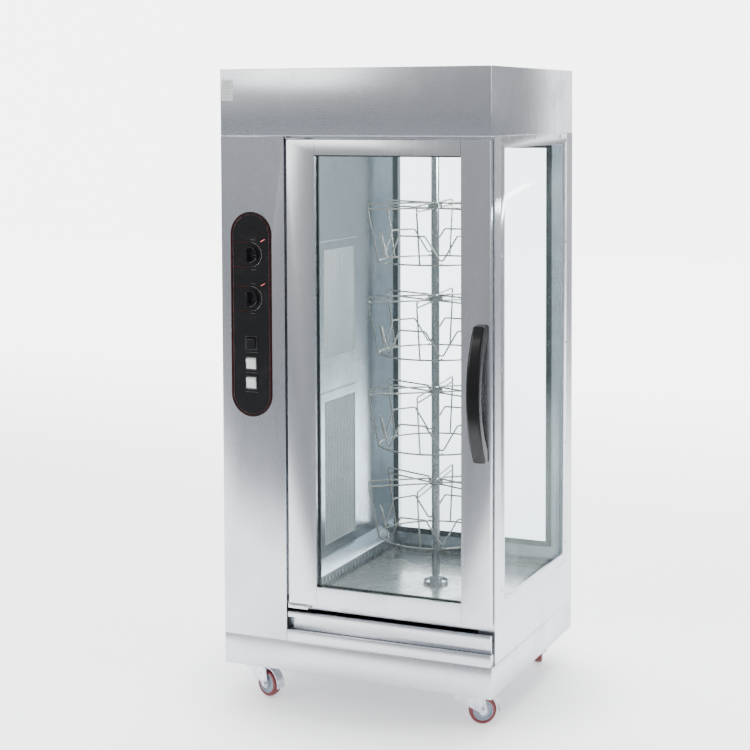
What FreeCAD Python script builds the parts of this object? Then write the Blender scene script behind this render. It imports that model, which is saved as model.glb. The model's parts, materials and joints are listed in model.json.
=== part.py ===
import FreeCAD, Part
import os
import re
import Sketcher

# Vertical rotisserie oven, in millimetres. +Z is up, the door faces -Y, and the origin is on the
# floor under the middle of the whole object, with the handle in front and the gas inlet behind.

doc = FreeCAD.newDocument("RotisserieOven")
sheet = doc.addObject("Spreadsheet::Sheet", "Sizes")

sizes = {
    # cabinet
    "bodyWide": 800, "bodyDeep": 700, "wheelRoom": 15, "plinthTall": 85, "cabinetTall": 1402,
    "hoodTall": 185, "skin": 1.5, "controlWide": 196, "baseRecess": 10, "basePlate": 2.5,
    "cornerWide": 45, "postLeg": 48, "mouthLeft": 54, "mouthRight": 58, "mouthTop": 32,
    "mouthBottom": 20, "mouthSkirt": 15, "floorRise": 105, "inletReach": 30, "slotWide": 4,
    "slotLong": 90, "slotPitch": 18, "slotCount": 12,
    # side and rear windows
    "frameProud": 6, "frameBar": 31, "frameEnd": 53, "apronTall": 128, "paneThick": 5, "paneLap": 5,
    "rearStile": 49, "rearPost": 67, "rearSill": 172, "rearHead": 40, "rearLap": 12, "rearPaneSet": 33,
    "gasketThick": 4, "gasketLip": 4, "screwHead": 3.5, "screwTall": 1.4, "frameScrewInset": 7,
    # door
    "doorThick": 25, "doorRise": 109, "doorHeadGap": 9, "doorSideGap": 3, "shadowGap": 8,
    "mouthGap": 3.5, "hingeStile": 85, "latchStile": 82, "topRail": 42, "bottomRail": 52,
    "glassInset": 13, "glassLap": 12, "pivotInset": 8, "pivotRadius": 4, "pivotFit": 0.05,
    "bushRadius": 7.5, "bushTall": 20, "pivotGap": 1, "bracketWide": 60, "bracketThick": 3,
    "bracketApron": 14, "handleWide": 36, "handleTall": 366, "handleReach": 80, "handleInner": 54,
    "handleEnd": 26, "handleFoot": 36, "handleInset": 22, "handleRise": 546, "handleRound": 7,
    # drip drawer and sill
    "sillTall": 33, "sillDeep": 26, "drawerGap": 1, "lipTall": 15, "faceTall": 50, "faceDeep": 14,
    "faceSet": 12, "faceNotch": 22, "panRight": 60, "panRear": 96, "panTall": 48, "panSide": 14,
    "runnerFit": 0.4, "runnerFlange": 12,
    # controls
    "plateWide": 127, "plateTall": 571, "plateThick": 1.5, "plateLeft": 30, "plateDrop": 209,
    "controlX": 93, "knobDrop": 328, "knobPitch": 122, "knobRadius": 22.5, "knobSkirt": 8,
    "knobReach": 30, "knobGap": 0.8, "gripWide": 9, "gripTall": 41, "stemRadius": 4, "stemHole": 5.5,
    "stemLong": 26, "valveFit": 0.05, "valveWide": 34, "valveLong": 46, "rockerDrop": 574,
    "rockerTopPitch": 57, "rockerPitch": 54, "rockerWide": 29, "rockerRadius": 16.3, "rockerTilt": 8,
    "rockerGap": 0.4, "rockerBack": 4, "bezelWide": 37, "bezelTall": 39, "bezelProud": 2,
    "switchDeep": 24, "switchWall": 1.6,
    # burners and air strip
    "burnerFront": 225, "burnerWide": 235, "lowBurnerFrom": 0.143, "lowBurnerShare": 0.315,
    "highBurnerFrom": 0.531, "highBurnerShare": 0.241, "burnerDeep": 80, "burnerLip": 8,
    "meshFrame": 12, "meshProud": 6, "meshThick": 1.6, "stripReach": 44, "stripTall": 45,
    "stripSlope": 27, "stripFront": 60, "stripRear": 50, "airSlotWide": 9, "airSlotTall": 30,
    "airSlotPitch": 22, "airSlotFirst": 90, "airSlotRise": 7, "pipeRadius": 8, "pipeInset": 95,
    "injectorRadius": 5, "inletRadius": 10.5, "inletFlange": 17, "glandRadius": 10, "glandReach": 20,
    "serviceRise": 60, "glandOffset": 60,
    # floor, tray and light
    "trayInset": 12, "trayTall": 14, "trayThick": 1.2, "trayFrontGap": 10, "trayRearGap": 12,
    "collarTall": 10, "collarGap": 3, "drainRadius": 9, "drainInset": 34, "lampX": 110, "lampY": 120,
    "lampRadius": 38, "lampTall": 16, "lampGlass": 26,
    # rotor
    "shaftAside": 2, "shaftBack": 5, "shaftRadius": 12, "journalRadius": 8, "journalTall": 16,
    "bearingFit": 0.05, "thrustGap": 1, "footFlange": 32, "footPlate": 4, "footBoss": 18,
    "footTall": 24, "topFlange": 30, "topPlate": 5, "topBoss": 18, "topBossTall": 14, "shaftAbove": 46,
    "couplingRadius": 19, "couplingTall": 44, "driveStub": 14, "gearWide": 120, "gearDeep": 90,
    "gearTall": 46, "motorRadius": 34, "motorLong": 70, "firstTier": 405, "lastTierDrop": 202,
    "hubRadius": 21, "hubTall": 20, "wireRadius": 2.4, "armReach": 198, "armRise": 8, "hoopRadius": 163,
    "hoopDrop": 158, "crownDrop": 78,
    # casters
    "wheelRadius": 37.5, "wheelWide": 26, "casterSide": 85, "casterEnd": 48, "casterTrail": 40,
    "casterPlateWide": 88, "casterPlateThick": 2.5, "raceRadius": 22, "raceTall": 8.5, "kingRadius": 8,
    "kingFit": 0.05, "swivelGap": 0.5, "crownPlate": 2.5, "forkWall": 2.5, "forkGap": 2,
    "forkFront": 38, "forkBack": 33, "axleRadius": 6, "axleFit": 0.05, "axleHead": 9, "axleHeadTall": 3,
    "hubSide": 17, "hubDish": 6, "pedalGap": 10.5, "pedalThick": 2, "pedalWide": 27, "pedalPin": 2.5,
    "pedalPinX": -2, "pedalPinZ": 6, "pedalFit": 0.05,
}
for row, (alias, value) in enumerate(sizes.items(), start=1):
    sheet.set(f"A{row}", alias)
    sheet.set(f"B{row}", str(value))
    sheet.setAlias(f"B{row}", alias)
doc.recompute()

armAngles = [-83 + 60 * step for step in range(6)]     # degrees about the shaft
crownPhase = -62                                        # angle of the first low point of the crown
crownHalfFlat = 14                                      # half the angle that one flat top spans
pedalStart, pedalEnd = -8, 72                           # degrees round the wheel, from level
casterTurn = {"front_left": -20, "front_right": 30, "rear_left": 25, "rear_right": -75}

parts = []


# ---- expressions and plain solids

def bound(text):
    """The expression with every named size pointed at the sheet."""
    def aimed(word):
        return f"Sizes.{word.group()}" if word.group() in sizes else word.group()

    return re.sub(r"[A-Za-z]\w*", aimed, text)


def amount(text):
    return float(sheet.evalExpression(bound(text)))


def tie(item, settings):
    for path, text in settings.items():
        item.setExpression(path, bound(text))
    return item


def move(item, x="0", y="0", z="0"):
    return tie(item, {"Placement.Base.x": x, "Placement.Base.y": y, "Placement.Base.z": z})


def finished(item, label):
    item.Label = label
    parts.append(item)
    return item


def block(x, y, z):
    """A box between pairs of expressions."""
    item = doc.addObject("Part::Box", "Block")
    spans = {"Length": x, "Width": y, "Height": z}
    tie(item, {side: f"({span[1]}) - ({span[0]})" for side, span in spans.items()})
    return move(item, x[0], y[0], z[0])


def rod(axis, at, radius, length):
    """A cylinder that starts at a point and runs along +X, +Y or +Z."""
    item = doc.addObject("Part::Cylinder", "Rod")
    turn = {"X": ((0, 1, 0), 90), "Y": ((1, 0, 0), -90), "Z": ((0, 0, 1), 0)}[axis]
    item.Placement = FreeCAD.Placement(FreeCAD.Vector(), FreeCAD.Rotation(FreeCAD.Vector(*turn[0]), turn[1]))
    tie(item, {"Radius": radius, "Height": length})
    return move(item, *at)


def group(items):
    item = doc.addObject("Part::Compound", "Group")
    item.Links = items
    return item


def fuse(*items):
    item = doc.addObject("Part::MultiFuse", "Fuse")
    item.Shapes = list(items)
    item.Refine = True
    return item


def cut(base, *tools):
    item = doc.addObject("Part::Cut", "Cut")
    item.Base = base
    item.Tool = tools[0] if len(tools) == 1 else group(list(tools))
    return item


# ---- sketched solids

def drawLoop(sketch, points):
    """A closed outline. A point is (x, y), or (x, y, bulge) when an arc that high leads to the next."""
    first = sketch.GeometryCount
    spots = [FreeCAD.Vector(amount(p[0]), amount(p[1]), 0) for p in points]
    count = len(points)
    ends = []
    for step, point in enumerate(points):
        start, end = spots[step], spots[(step + 1) % count]
        if len(point) == 2:
            sketch.addGeometry(Part.LineSegment(start, end), False)
            ends.append((1, 2))
            continue
        side = (end - start).cross(FreeCAD.Vector(0, 0, 1)).normalize()
        middle = (start + end) / 2 + side * amount(point[2])
        sketch.addGeometry(Part.Arc(start, middle, end), False)
        ends.append((1, 2) if amount(point[2]) > 0 else (2, 1))
    for step in range(count):
        after = (step + 1) % count
        sketch.addConstraint(
            Sketcher.Constraint("Coincident", first + step, ends[step][1], first + after, ends[after][0]))
    for step, point in enumerate(points):
        for kind, text in (("DistanceX", point[0]), ("DistanceY", point[1])):
            index = sketch.addConstraint(
                Sketcher.Constraint(kind, -1, 1, first + step, ends[step][0], amount(text)))
            name = f"{kind}_{first + step}"
            sketch.renameConstraint(index, name)
            sketch.setExpression(f"Constraints.{name}", bound(text))
        if len(point) == 3:
            centreAxis(sketch, first + step, point, points[(step + 1) % count])


def centreAxis(sketch, number, start, end):
    """Fixes an arc through its bulge: its centre's place along the line that halves the chord."""
    run = [f"(({end[axis]}) - ({start[axis]}))" for axis in (0, 1)]
    bulge = f"({start[2]})"
    chord = f"({run[0]}^2 + {run[1]}^2)"
    back = f"(({chord} / 4 - {bulge}^2) / (2 * {bulge} * sqrt({chord})))"
    if abs(amount(run[1])) > abs(amount(run[0])):
        kind, text = "DistanceX", f"(({start[0]}) + ({end[0]})) / 2 - {run[1]} * {back}"
    else:
        kind, text = "DistanceY", f"(({start[1]}) + ({end[1]})) / 2 + {run[0]} * {back}"
    index = sketch.addConstraint(Sketcher.Constraint(kind, -1, 1, number, 3, amount(text)))
    sketch.renameConstraint(index, f"Centre_{number}")
    sketch.setExpression(f"Constraints.Centre_{number}", bound(text))


def drawCircle(sketch, x, y, radius):
    first = sketch.GeometryCount
    centre = FreeCAD.Vector(amount(x), amount(y), 0)
    sketch.addGeometry(Part.Circle(centre, FreeCAD.Vector(0, 0, 1), amount(radius)))
    wanted = (("DistanceX", x, (-1, 1, first, 3)), ("DistanceY", y, (-1, 1, first, 3)),
              ("Radius", radius, (first,)))
    for kind, text, where in wanted:
        index = sketch.addConstraint(Sketcher.Constraint(kind, *where, amount(text)))
        sketch.renameConstraint(index, f"{kind}_{first}")
        sketch.setExpression(f"Constraints.{kind}_{first}", bound(text))


def sketchOn(body, plane, height, loops, circles=()):
    sketch = body.newObject("Sketcher::SketchObject", "Sketch")
    origin = [item for item in body.Origin.OriginFeatures if item.Role == plane + "_Plane"][0]
    sketch.AttachmentSupport = [(origin, "")]
    sketch.MapMode = "FlatFace"
    sketch.setExpression("AttachmentOffset.Base.z", bound(height))
    for points in loops:
        drawLoop(sketch, points)
    for circle in circles:
        drawCircle(sketch, *circle)
    return sketch


def rectangle(x, y):
    return [(x[0], y[0]), (x[1], y[0]), (x[1], y[1]), (x[0], y[1])]


def pad(body, plane, span, loops, circles=()):
    """Adds material between two heights over a plane; XZ faces -Y, so its heights are counted back."""
    height = f"-({span[1]})" if plane == "XZ" else span[0]
    feature = body.newObject("PartDesign::Pad", "Pad")
    feature.Profile = sketchOn(body, plane, height, loops, circles)
    return tie(feature, {"Length": f"({span[1]}) - ({span[0]})"})


def pocket(body, plane, span, loops, circles=()):
    """Removes material between two heights, cut evenly to both sides of a sketch at the middle."""
    sign = "-" if plane == "XZ" else ""
    feature = body.newObject("PartDesign::Pocket", "Pocket")
    feature.Profile = sketchOn(body, plane, f"{sign}(({span[0]}) + ({span[1]})) / 2", loops, circles)
    feature.SideType = "Symmetric"
    return tie(feature, {"Length": f"({span[1]}) - ({span[0]})"})


def newBody(name):
    return doc.addObject("PartDesign::Body", name)


def extruded(plane, span, loops, circles=()):
    body = newBody("Extruded")
    pad(body, plane, span, loops, circles)
    return body


def turned(outline):
    """A solid of revolution about its own +Z; the outline is (radius, height) points."""
    body = newBody("Turned")
    feature = body.newObject("PartDesign::Revolution", "Revolution")
    feature.Profile = sketchOn(body, "XZ", "0", [outline])
    feature.ReferenceAxis = (feature.Profile[0], ["V_Axis"])
    feature.Angle = 360
    return body


def ring(plane, span, x, y, border):
    """A flat frame: its outer edge, and the four widths left, right, bottom, top."""
    left, right, bottom, top = border
    hole = rectangle((f"{x[0]} + {left}", f"{x[1]} - {right}"), (f"{y[0]} + {bottom}", f"{y[1]} - {top}"))
    return extruded(plane, span, [rectangle(x, y), hole])


def rowOfSlots(body, cutter, axis, count, pitch):
    """Repeats a pocket along its sketch's axis."""
    pattern = body.newObject("PartDesign::LinearPattern", "Pattern")
    pattern.Originals = [cutter]
    pattern.Direction = (cutter.Profile[0], [axis])
    tie(pattern, {"Length": f"({count} - 1) * {pitch}", "Occurrences": count})
    body.Tip = pattern
    return pattern


# ---- places shared by many pieces

leftX = "(-bodyWide / 2)"
rightX = "(bodyWide / 2)"
innerX = "(controlWide - bodyWide / 2)"                 # the cavity's left wall
frontY = "((handleReach - inletReach - bodyDeep) / 2)"
backY = f"({frontY} + bodyDeep)"
baseZ = "(2 * wheelRadius + wheelRoom)"
deckZ = f"({baseZ} + plinthTall)"
headZ = f"({deckZ} + cabinetTall)"
topZ = f"({headZ} + hoodTall)"
floorZ = f"({deckZ} + floorRise)"
mouthY = f"({frontY} + doorThick + mouthGap)"
cornerY = f"({mouthY} + cornerWide)"
glassX = f"({rightX} - frameProud)"
rearY = f"({backY} - rearPaneSet)"                       # the rear pane's outer face
doorX = (f"({innerX} + shadowGap)", f"({rightX} - doorSideGap)")
doorZ = (f"({deckZ} + doorRise)", f"({headZ} - doorHeadGap)")
pivotX = f"({doorX[0]} + pivotInset)"
pivotY = f"({frontY} + doorThick / 2)"
spinX = f"(({innerX} + {rightX}) / 2 + shaftAside)"
spinY = f"({frontY} + bodyDeep / 2 + shaftBack)"
tierPitch = "((cabinetTall - firstTier - lastTierDrop) / 3)"
panelX = f"({leftX} + controlX)"
sideWindow = ((cornerY, f"({backY} - frameEnd)"), (f"({deckZ} + apronTall)", headZ))
burners = {
    "upper": (f"({deckZ} + cabinetTall * highBurnerFrom)", "cabinetTall * highBurnerShare"),
    "lower": (f"({deckZ} + cabinetTall * lowBurnerFrom)", "cabinetTall * lowBurnerShare"),
}
burnerY = (f"({frontY} + burnerFront)", f"({frontY} + burnerFront + burnerWide)")
knobZ = {"upper": f"({headZ} - knobDrop)", "lower": f"({headZ} - knobDrop - knobPitch)"}
rockerZ = {
    "light": f"({headZ} - rockerDrop - rockerTopPitch - rockerPitch)",
    "rotate": f"({headZ} - rockerDrop - rockerTopPitch)",
    "power": f"({headZ} - rockerDrop)",
}


# ---- cabinet

def makePlinth():
    shell = cut(block((leftX, rightX), (frontY, backY), (baseZ, deckZ)),
                block((f"{leftX} + skin", f"{rightX} - skin"), (f"{frontY} + skin", f"{backY} - skin"),
                      (f"{baseZ} - 1", f"{deckZ} - skin")))
    base = block((f"{leftX} + skin", f"{rightX} - skin"), (f"{frontY} + skin", f"{backY} - skin"),
                 (f"{baseZ} + baseRecess", f"{baseZ} + baseRecess + basePlate"))
    finished(fuse(shell, base), "plinth")


def makeControlCover():
    lip = f"{frontY} + doorThick - 1"
    body = extruded("XY", (deckZ, headZ), [[
        (leftX, frontY), (innerX, frontY), (innerX, lip), (f"{innerX} - skin", lip),
        (f"{innerX} - skin", f"{frontY} + skin"), (leftX, f"{frontY} + skin")]])
    through = (f"{frontY} - 1", f"{frontY} + skin + 1")
    pocket(body, "XZ", through, [], [(panelX, z, "stemHole") for z in knobZ.values()])
    pocket(body, "XZ", through, [switchOpening(z) for z in rockerZ.values()])
    finished(body, "control_cover")


def switchOpening(z):
    half = "(rockerRadius + rockerGap + switchWall)"
    wide = "(rockerWide / 2 + rockerGap + switchWall)"
    return rectangle((f"{panelX} - {wide}", f"{panelX} + {wide}"), (f"{z} - {half}", f"{z} + {half}"))


def makeControlPlate():
    left = f"{leftX} + plateLeft"
    right = f"{left} + plateWide"
    low, high = f"{headZ} - plateDrop - plateTall + plateWide / 2", f"{headZ} - plateDrop - plateWide / 2"
    stadium = [(right, low), (right, high, "plateWide / 2"), (left, high), (left, low, "plateWide / 2")]
    body = extruded("XZ", (f"{frontY} - plateThick", frontY), [stadium])
    through = (f"{frontY} - plateThick - 1", f"{frontY} + 1")
    pocket(body, "XZ", through, [], [(panelX, z, "stemHole") for z in knobZ.values()])
    pocket(body, "XZ", through, [switchOpening(z) for z in rockerZ.values()])
    finished(body, "control_plate")


def makeServiceCasing():
    """The left side and the service rear wall, one folded sheet with air slots low and high."""
    body = extruded("XY", (deckZ, headZ), [[
        (leftX, f"{frontY} + skin"), (f"{leftX} + skin", f"{frontY} + skin"),
        (f"{leftX} + skin", f"{backY} - skin"),
        (innerX, f"{backY} - skin"), (innerX, backY), (leftX, backY)]])
    for rise in ("120", "cabinetTall - 120 - slotPitch * slotCount"):
        for start in ("bodyDeep * 0.25", "bodyDeep * 0.6"):
            first = rectangle((f"{frontY} + {start}", f"{frontY} + {start} + slotLong"),
                              (f"{deckZ} + {rise}", f"{deckZ} + {rise} + slotWide"))
            slot = pocket(body, "YZ", (f"{leftX} - 1", f"{leftX} + skin + 1"), [first])
            rowOfSlots(body, slot, "V_Axis", "slotCount", "slotPitch")
    inlet = (f"{leftX} + pipeInset", f"{deckZ} + serviceRise", "inletRadius + 1")
    gland = (f"{leftX} + pipeInset - glandOffset", f"{deckZ} + serviceRise", "glandRadius")
    pocket(body, "XZ", (f"{backY} - skin - 1", f"{backY} + 1"), [], [inlet, gland])
    finished(body, "service_casing")


def makePartition():
    body = extruded("YZ", (f"{innerX} - skin", innerX), [rectangle(
        (f"{frontY} + doorThick - 1", f"{backY} - skin"), (deckZ, headZ))])
    windows = [rectangle(burnerY, (low, f"{low} + {tall}")) for low, tall in burners.values()]
    pocket(body, "YZ", (f"{innerX} - skin - 1", f"{innerX} + 1"), windows)
    finished(body, "partition")


def makeMouthFrame():
    outerX, outerZ = (innerX, f"{rightX} - skin"), (f"{floorZ} - mouthSkirt", headZ)
    border = ("mouthLeft", "(mouthRight - skin)", "(mouthSkirt + mouthBottom)", "mouthTop")
    finished(ring("XZ", (mouthY, f"{mouthY} + skin"), outerX, outerZ, border), "mouth_frame")


def makeCornerPosts():
    front = extruded("XY", (deckZ, headZ), [[
        (f"{rightX} - postLeg", f"{mouthY} + skin"), (f"{rightX} - skin", f"{mouthY} + skin"),
        (f"{rightX} - skin", mouthY), (rightX, mouthY), (rightX, cornerY), (f"{rightX} - skin", cornerY),
        (f"{rightX} - skin", f"{mouthY} + 2 * skin"), (f"{rightX} - postLeg", f"{mouthY} + 2 * skin")]])
    rear = extruded("XY", (f"{deckZ} + apronTall", headZ), [[
        (f"{rightX} - skin", sideWindow[0][1]), (rightX, sideWindow[0][1]), (rightX, backY),
        (f"{rightX} - skin", backY), (f"{rightX} - skin", f"{backY} - skin"),
        (f"{rightX} - postLeg", f"{backY} - skin"), (f"{rightX} - postLeg", f"{backY} - 2 * skin"),
        (f"{rightX} - skin", f"{backY} - 2 * skin")]])
    finished(group([front, rear]), "corner_posts")


def makeSideWindow():
    y, z = sideWindow
    bar = "frameBar"
    finished(ring("YZ", (glassX, rightX), y, z, (bar, bar, bar, bar)), "side_frame")
    pane = block((f"{glassX} - paneThick", glassX), (f"{y[0]} + paneLap", f"{y[1]} - paneLap"),
                 (f"{z[0]} + paneLap", f"{z[1]} - paneLap"))
    finished(pane, "side_glass")
    apron = block((f"{rightX} - skin", rightX), (cornerY, backY), (deckZ, z[0]))
    finished(apron, "side_apron")


def makeScrews():
    """Button heads: round the side window, and matching rows on the left side panel."""
    y, z = sideWindow
    heads = []
    span = f"({z[1]} - {z[0]} - 80)"
    for place in (f"{y[0]} + frameScrewInset", f"{y[1]} - frameScrewInset"):
        for step in range(5):
            spot = f"{z[0]} + 80 + {span} * {step} / 4 - 20"
            heads.append(rod("X", (rightX, place, spot), "screwHead", "screwTall"))
    for step in (1, 5, 9):
        spot = f"{y[0]} + ({y[1]} - {y[0]}) * {step} / 10"
        heads.append(rod("X", (rightX, spot, f"{z[1]} - frameScrewInset"), "screwHead", "screwTall"))
    for place in (f"{frontY} + 20", f"{backY} - 20"):
        for step in range(5):
            spot = f"{deckZ} + 60 + (cabinetTall - 120) * {step} / 4"
            heads.append(rod("X", (f"{leftX} - screwTall", place, spot), "screwHead", "screwTall"))
    finished(group(heads), "panel_screws")


def makeRearWindow():
    x, z = (innerX, f"{rightX} - skin"), (deckZ, headZ)
    hole = ((f"{innerX} + rearStile", f"{rightX} - rearPost"), (f"{deckZ} + rearSill", f"{headZ} - rearHead"))
    plate = ring("XZ", (f"{backY} - skin", backY), x, z,
                 ("rearStile", "(rearPost - skin)", "rearSill", "rearHead"))
    sleeveX, sleeveZ = [[f"{s[0]} - skin", f"{s[1]} + skin"] for s in hole]
    sleeve = ring("XZ", (f"{rearY} + gasketThick", f"{backY} - skin"), sleeveX, sleeveZ, ("skin",) * 4)
    wall = ring("XZ", (f"{rearY} + gasketThick", f"{rearY} + gasketThick + skin"),
                x, (floorZ, f"{headZ} - skin"),
                ("rearStile", "(rearPost - skin)", "(rearSill - floorRise)", "(rearHead - skin)"))
    finished(fuse(plate, sleeve, wall), "rear_frame")
    paneX, paneZ = [(f"{s[0]} - rearLap", f"{s[1]} + rearLap") for s in hole]
    finished(block(paneX, (f"{rearY} - paneThick", rearY), paneZ), "rear_glass")
    border = ("(rearLap + gasketLip)",) * 4
    finished(ring("XZ", (rearY, f"{rearY} + gasketThick"), paneX, paneZ, border), "rear_gasket")


def makeHood():
    shell = cut(block((leftX, rightX), (frontY, backY), (headZ, topZ)),
                block((f"{leftX} + skin", f"{rightX} - skin"), (f"{frontY} + skin", f"{backY} - skin"),
                      (f"{headZ} - 1", f"{topZ} - skin")))
    body = newBody("Hood")
    base = body.newObject("PartDesign::FeatureBase", "Shell")
    base.BaseFeature = shell
    body.Tip = base
    doc.recompute()
    for start in ("-bodyWide * 0.35", "bodyWide * 0.2"):
        first = rectangle((start, f"{start} + slotLong"), (f"{headZ} + 55", f"{headZ} + 55 + slotWide"))
        slot = pocket(body, "XZ", (f"{backY} - skin - 1", f"{backY} + 1"), [first])
        rowOfSlots(body, slot, "V_Axis", "5", "slotPitch")
    finished(body, "hood")


def makeFloorAndCeiling():
    x, y = (innerX, f"{rightX} - skin"), (f"{mouthY} + 2 * skin", f"{backY} - 2 * skin")
    drain = (f"{innerX} + stripReach + drainInset", f"{mouthY} + drainInset", "drainRadius + 3")
    floor = extruded("XY", (f"{floorZ} - skin", floorZ), [rectangle(x, y)], [drain])
    finished(floor, "cavity_floor")
    ceilingX = (innerX, glassX)
    openings = [(spinX, spinY, "topBoss + 1"), (f"{innerX} + lampX", f"{frontY} + lampY", "lampRadius * 0.6")]
    ceiling = extruded("XY", (f"{headZ} - skin", headZ), [rectangle(ceilingX, y)], openings)
    finished(ceiling, "ceiling_panel")


def makeDripTray():
    x = (f"{innerX} + stripReach + trayInset", f"{rightX} - skin - trayInset")
    y = (f"{mouthY} + 2 * skin + trayFrontGap", f"{rearY} - paneThick - trayRearGap")
    z = (floorZ, f"{floorZ} + trayTall")
    wall = "trayThick"
    collarHole = "(footFlange + collarGap)"
    drain = rod("Z", (f"{innerX} + stripReach + drainInset", f"{mouthY} + drainInset", f"{z[0]} - 1"),
                "drainRadius", "trayTall")
    well = rod("Z", (spinX, spinY, f"{z[0]} - 1"), collarHole, "trayTall + 2")
    bottom = cut(block(x, y, (z[0], f"{z[0]} + {wall}")), drain, well)
    collar = cut(rod("Z", (spinX, spinY, f"{z[0]} + {wall}"), f"{collarHole} + {wall}", f"collarTall - {wall}"),
                 rod("Z", (spinX, spinY, f"{z[0]} - 1"), collarHole, "trayTall + 2"))
    high = (f"{z[0]} + {wall}", z[1])
    between = (f"{x[0]} + {wall}", f"{x[1]} - {wall}")
    walls = [block((x[0], between[0]), y, high), block((between[1], x[1]), y, high),
             block(between, (y[0], f"{y[0]} + {wall}"), high), block(between, (f"{y[1]} - {wall}", y[1]), high)]
    finished(group([bottom, collar, *walls]), "drip_tray")


def makeAirStrip():
    """A folded strip low on the burner wall, with a row of upright slots for the air."""
    faceX = f"{innerX} + stripReach"
    low, bend, high = floorZ, f"{floorZ} + stripTall", f"{floorZ} + stripTall + stripSlope"
    y = (f"{frontY} + stripFront", f"{backY} - stripRear")
    body = extruded("XZ", y, [[
        (faceX, low), (faceX, bend), (innerX, high), (innerX, f"{high} - 2 * skin"),
        (f"{faceX} - skin", f"{bend} - skin"), (f"{faceX} - skin", low)]])
    first = rectangle((f"{y[0]} + airSlotFirst", f"{y[0]} + airSlotFirst + airSlotWide"),
                      (f"{low} + airSlotRise", f"{low} + airSlotRise + airSlotTall"))
    slot = pocket(body, "YZ", (f"{faceX} - skin - 1", f"{faceX} + 1"), [first])
    count = f"floor(({y[1]} - {y[0]} - airSlotFirst - airSlotWide - 10) / airSlotPitch) + 1"
    rowOfSlots(body, slot, "H_Axis", count, "airSlotPitch")
    finished(body, "air_strip")


# ---- burners, gas and power

def makeBurners():
    housings, meshes = [], []
    backX = f"({innerX} - skin - burnerDeep)"
    for low, tall in burners.values():
        y = (f"{burnerY[0]} - burnerLip", f"{burnerY[1]} + burnerLip")
        z = (f"{low} - burnerLip", f"{low} + {tall} + burnerLip")
        hollow = block((f"{backX} + skin", f"{innerX}"), (f"{y[0]} + skin", f"{y[1]} - skin"),
                       (f"{z[0]} + skin", f"{z[1]} - skin"))
        housings.append(cut(block((backX, f"{innerX} - skin"), y, z), hollow))
        meshY = (f"{burnerY[0]} - meshFrame", f"{burnerY[1]} + meshFrame")
        meshZ = (f"{low} - meshFrame", f"{low} + {tall} + meshFrame")
        border = ("(2 * meshFrame)",) * 4
        frame = ring("YZ", (innerX, f"{innerX} + meshProud"), meshY, meshZ, border)
        screen = block((innerX, f"{innerX} + meshThick"), burnerY, (low, f"{low} + {tall}"))
        meshes.append(fuse(frame, screen))
    finished(group(housings), "burner_housings")
    finished(group(meshes), "burner_meshes")


def makeGas():
    """Two valves on one feed pipe from the rear inlet, each with a branch to its burner."""
    valves, pipes = [], []
    valveY = (f"{frontY} + skin + 8", f"{frontY} + skin + 8 + valveLong")
    pipeY = f"({valveY[1]} - 14)"
    pipeX = f"({leftX} + pipeInset)"
    inletZ = f"({deckZ} + serviceRise)"
    for name, z in knobZ.items():
        body = block((f"{panelX} - valveWide / 2", f"{panelX} + valveWide / 2"), valveY,
                     (f"{z} - valveWide / 2", f"{z} + valveWide / 2"))
        stemWell = rod("Y", (panelX, f"{valveY[0]} - 1", z), "stemRadius + valveFit", "stemLong")
        valves.append(cut(body, stemWell))
        low, tall = burners[name]
        branchZ = f"({low} + {tall} / 2)"
        reach = f"{innerX} - skin - burnerDeep - ({panelX} + valveWide / 2 + 10)"
        stub = rod("Y", (panelX, valveY[1], z), "pipeRadius * 0.7", "60")
        cross = rod("X", (panelX, f"{valveY[1]} + 60", z), "pipeRadius * 0.7",
                    f"{reach} + valveWide / 2 + 10 - 14")
        bendX = f"({innerX} - skin - burnerDeep - 14)"
        along = rod("Y", (bendX, f"{valveY[1]} + 60", z), "pipeRadius * 0.7",
                    f"({burnerY[0]} + burnerWide / 2) - ({valveY[1]} + 60)")
        foot, top = (z, branchZ) if amount(branchZ) > amount(z) else (branchZ, z)
        riser = rod("Z", (bendX, f"{burnerY[0]} + burnerWide / 2", foot), "pipeRadius * 0.7", f"{top} - {foot}")
        nozzle = rod("X", (bendX, f"{burnerY[0]} + burnerWide / 2", branchZ), "injectorRadius", "14")
        knees = [knee(panelX, f"{valveY[1]} + 60", z), knee(bendX, f"{valveY[1]} + 60", z),
                 knee(bendX, f"{burnerY[0]} + burnerWide / 2", z),
                 knee(bendX, f"{burnerY[0]} + burnerWide / 2", branchZ)]
        pipes.append(fuse(stub, cross, along, riser, nozzle, *knees))
    feedX = f"({panelX} - valveWide / 2 - pipeRadius)"
    feed = rod("Z", (feedX, pipeY, inletZ), "pipeRadius", f"{knobZ['upper']} + 20 - {inletZ}")
    run = rod("Y", (feedX, pipeY, inletZ), "pipeRadius", f"{backY} - 40 - {pipeY}")
    shift = rod("X", (feedX, f"{backY} - 40", inletZ), "pipeRadius", f"{pipeX} - {feedX} + 0.01")
    tail = rod("Y", (pipeX, f"{backY} - 40", inletZ), "pipeRadius", "40")
    inlet = rod("Y", (pipeX, f"{backY} - skin - 6", inletZ), "inletRadius", "skin + 6 + inletReach")
    flange = rod("Y", (pipeX, backY, inletZ), "inletFlange", "4")
    corners = [knee(feedX, pipeY, inletZ, "pipeRadius"), knee(feedX, f"{backY} - 40", inletZ, "pipeRadius"),
               knee(pipeX, f"{backY} - 40", inletZ, "pipeRadius")]
    pipes.append(fuse(feed, run, shift, tail, inlet, flange, *corners))
    finished(group(valves), "gas_valves")
    finished(group(pipes), "gas_pipework")


def knee(x, y, z, radius="pipeRadius * 0.7"):
    ball = doc.addObject("Part::Sphere", "Knee")
    tie(ball, {"Radius": radius})
    return move(ball, x, y, z)


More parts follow.
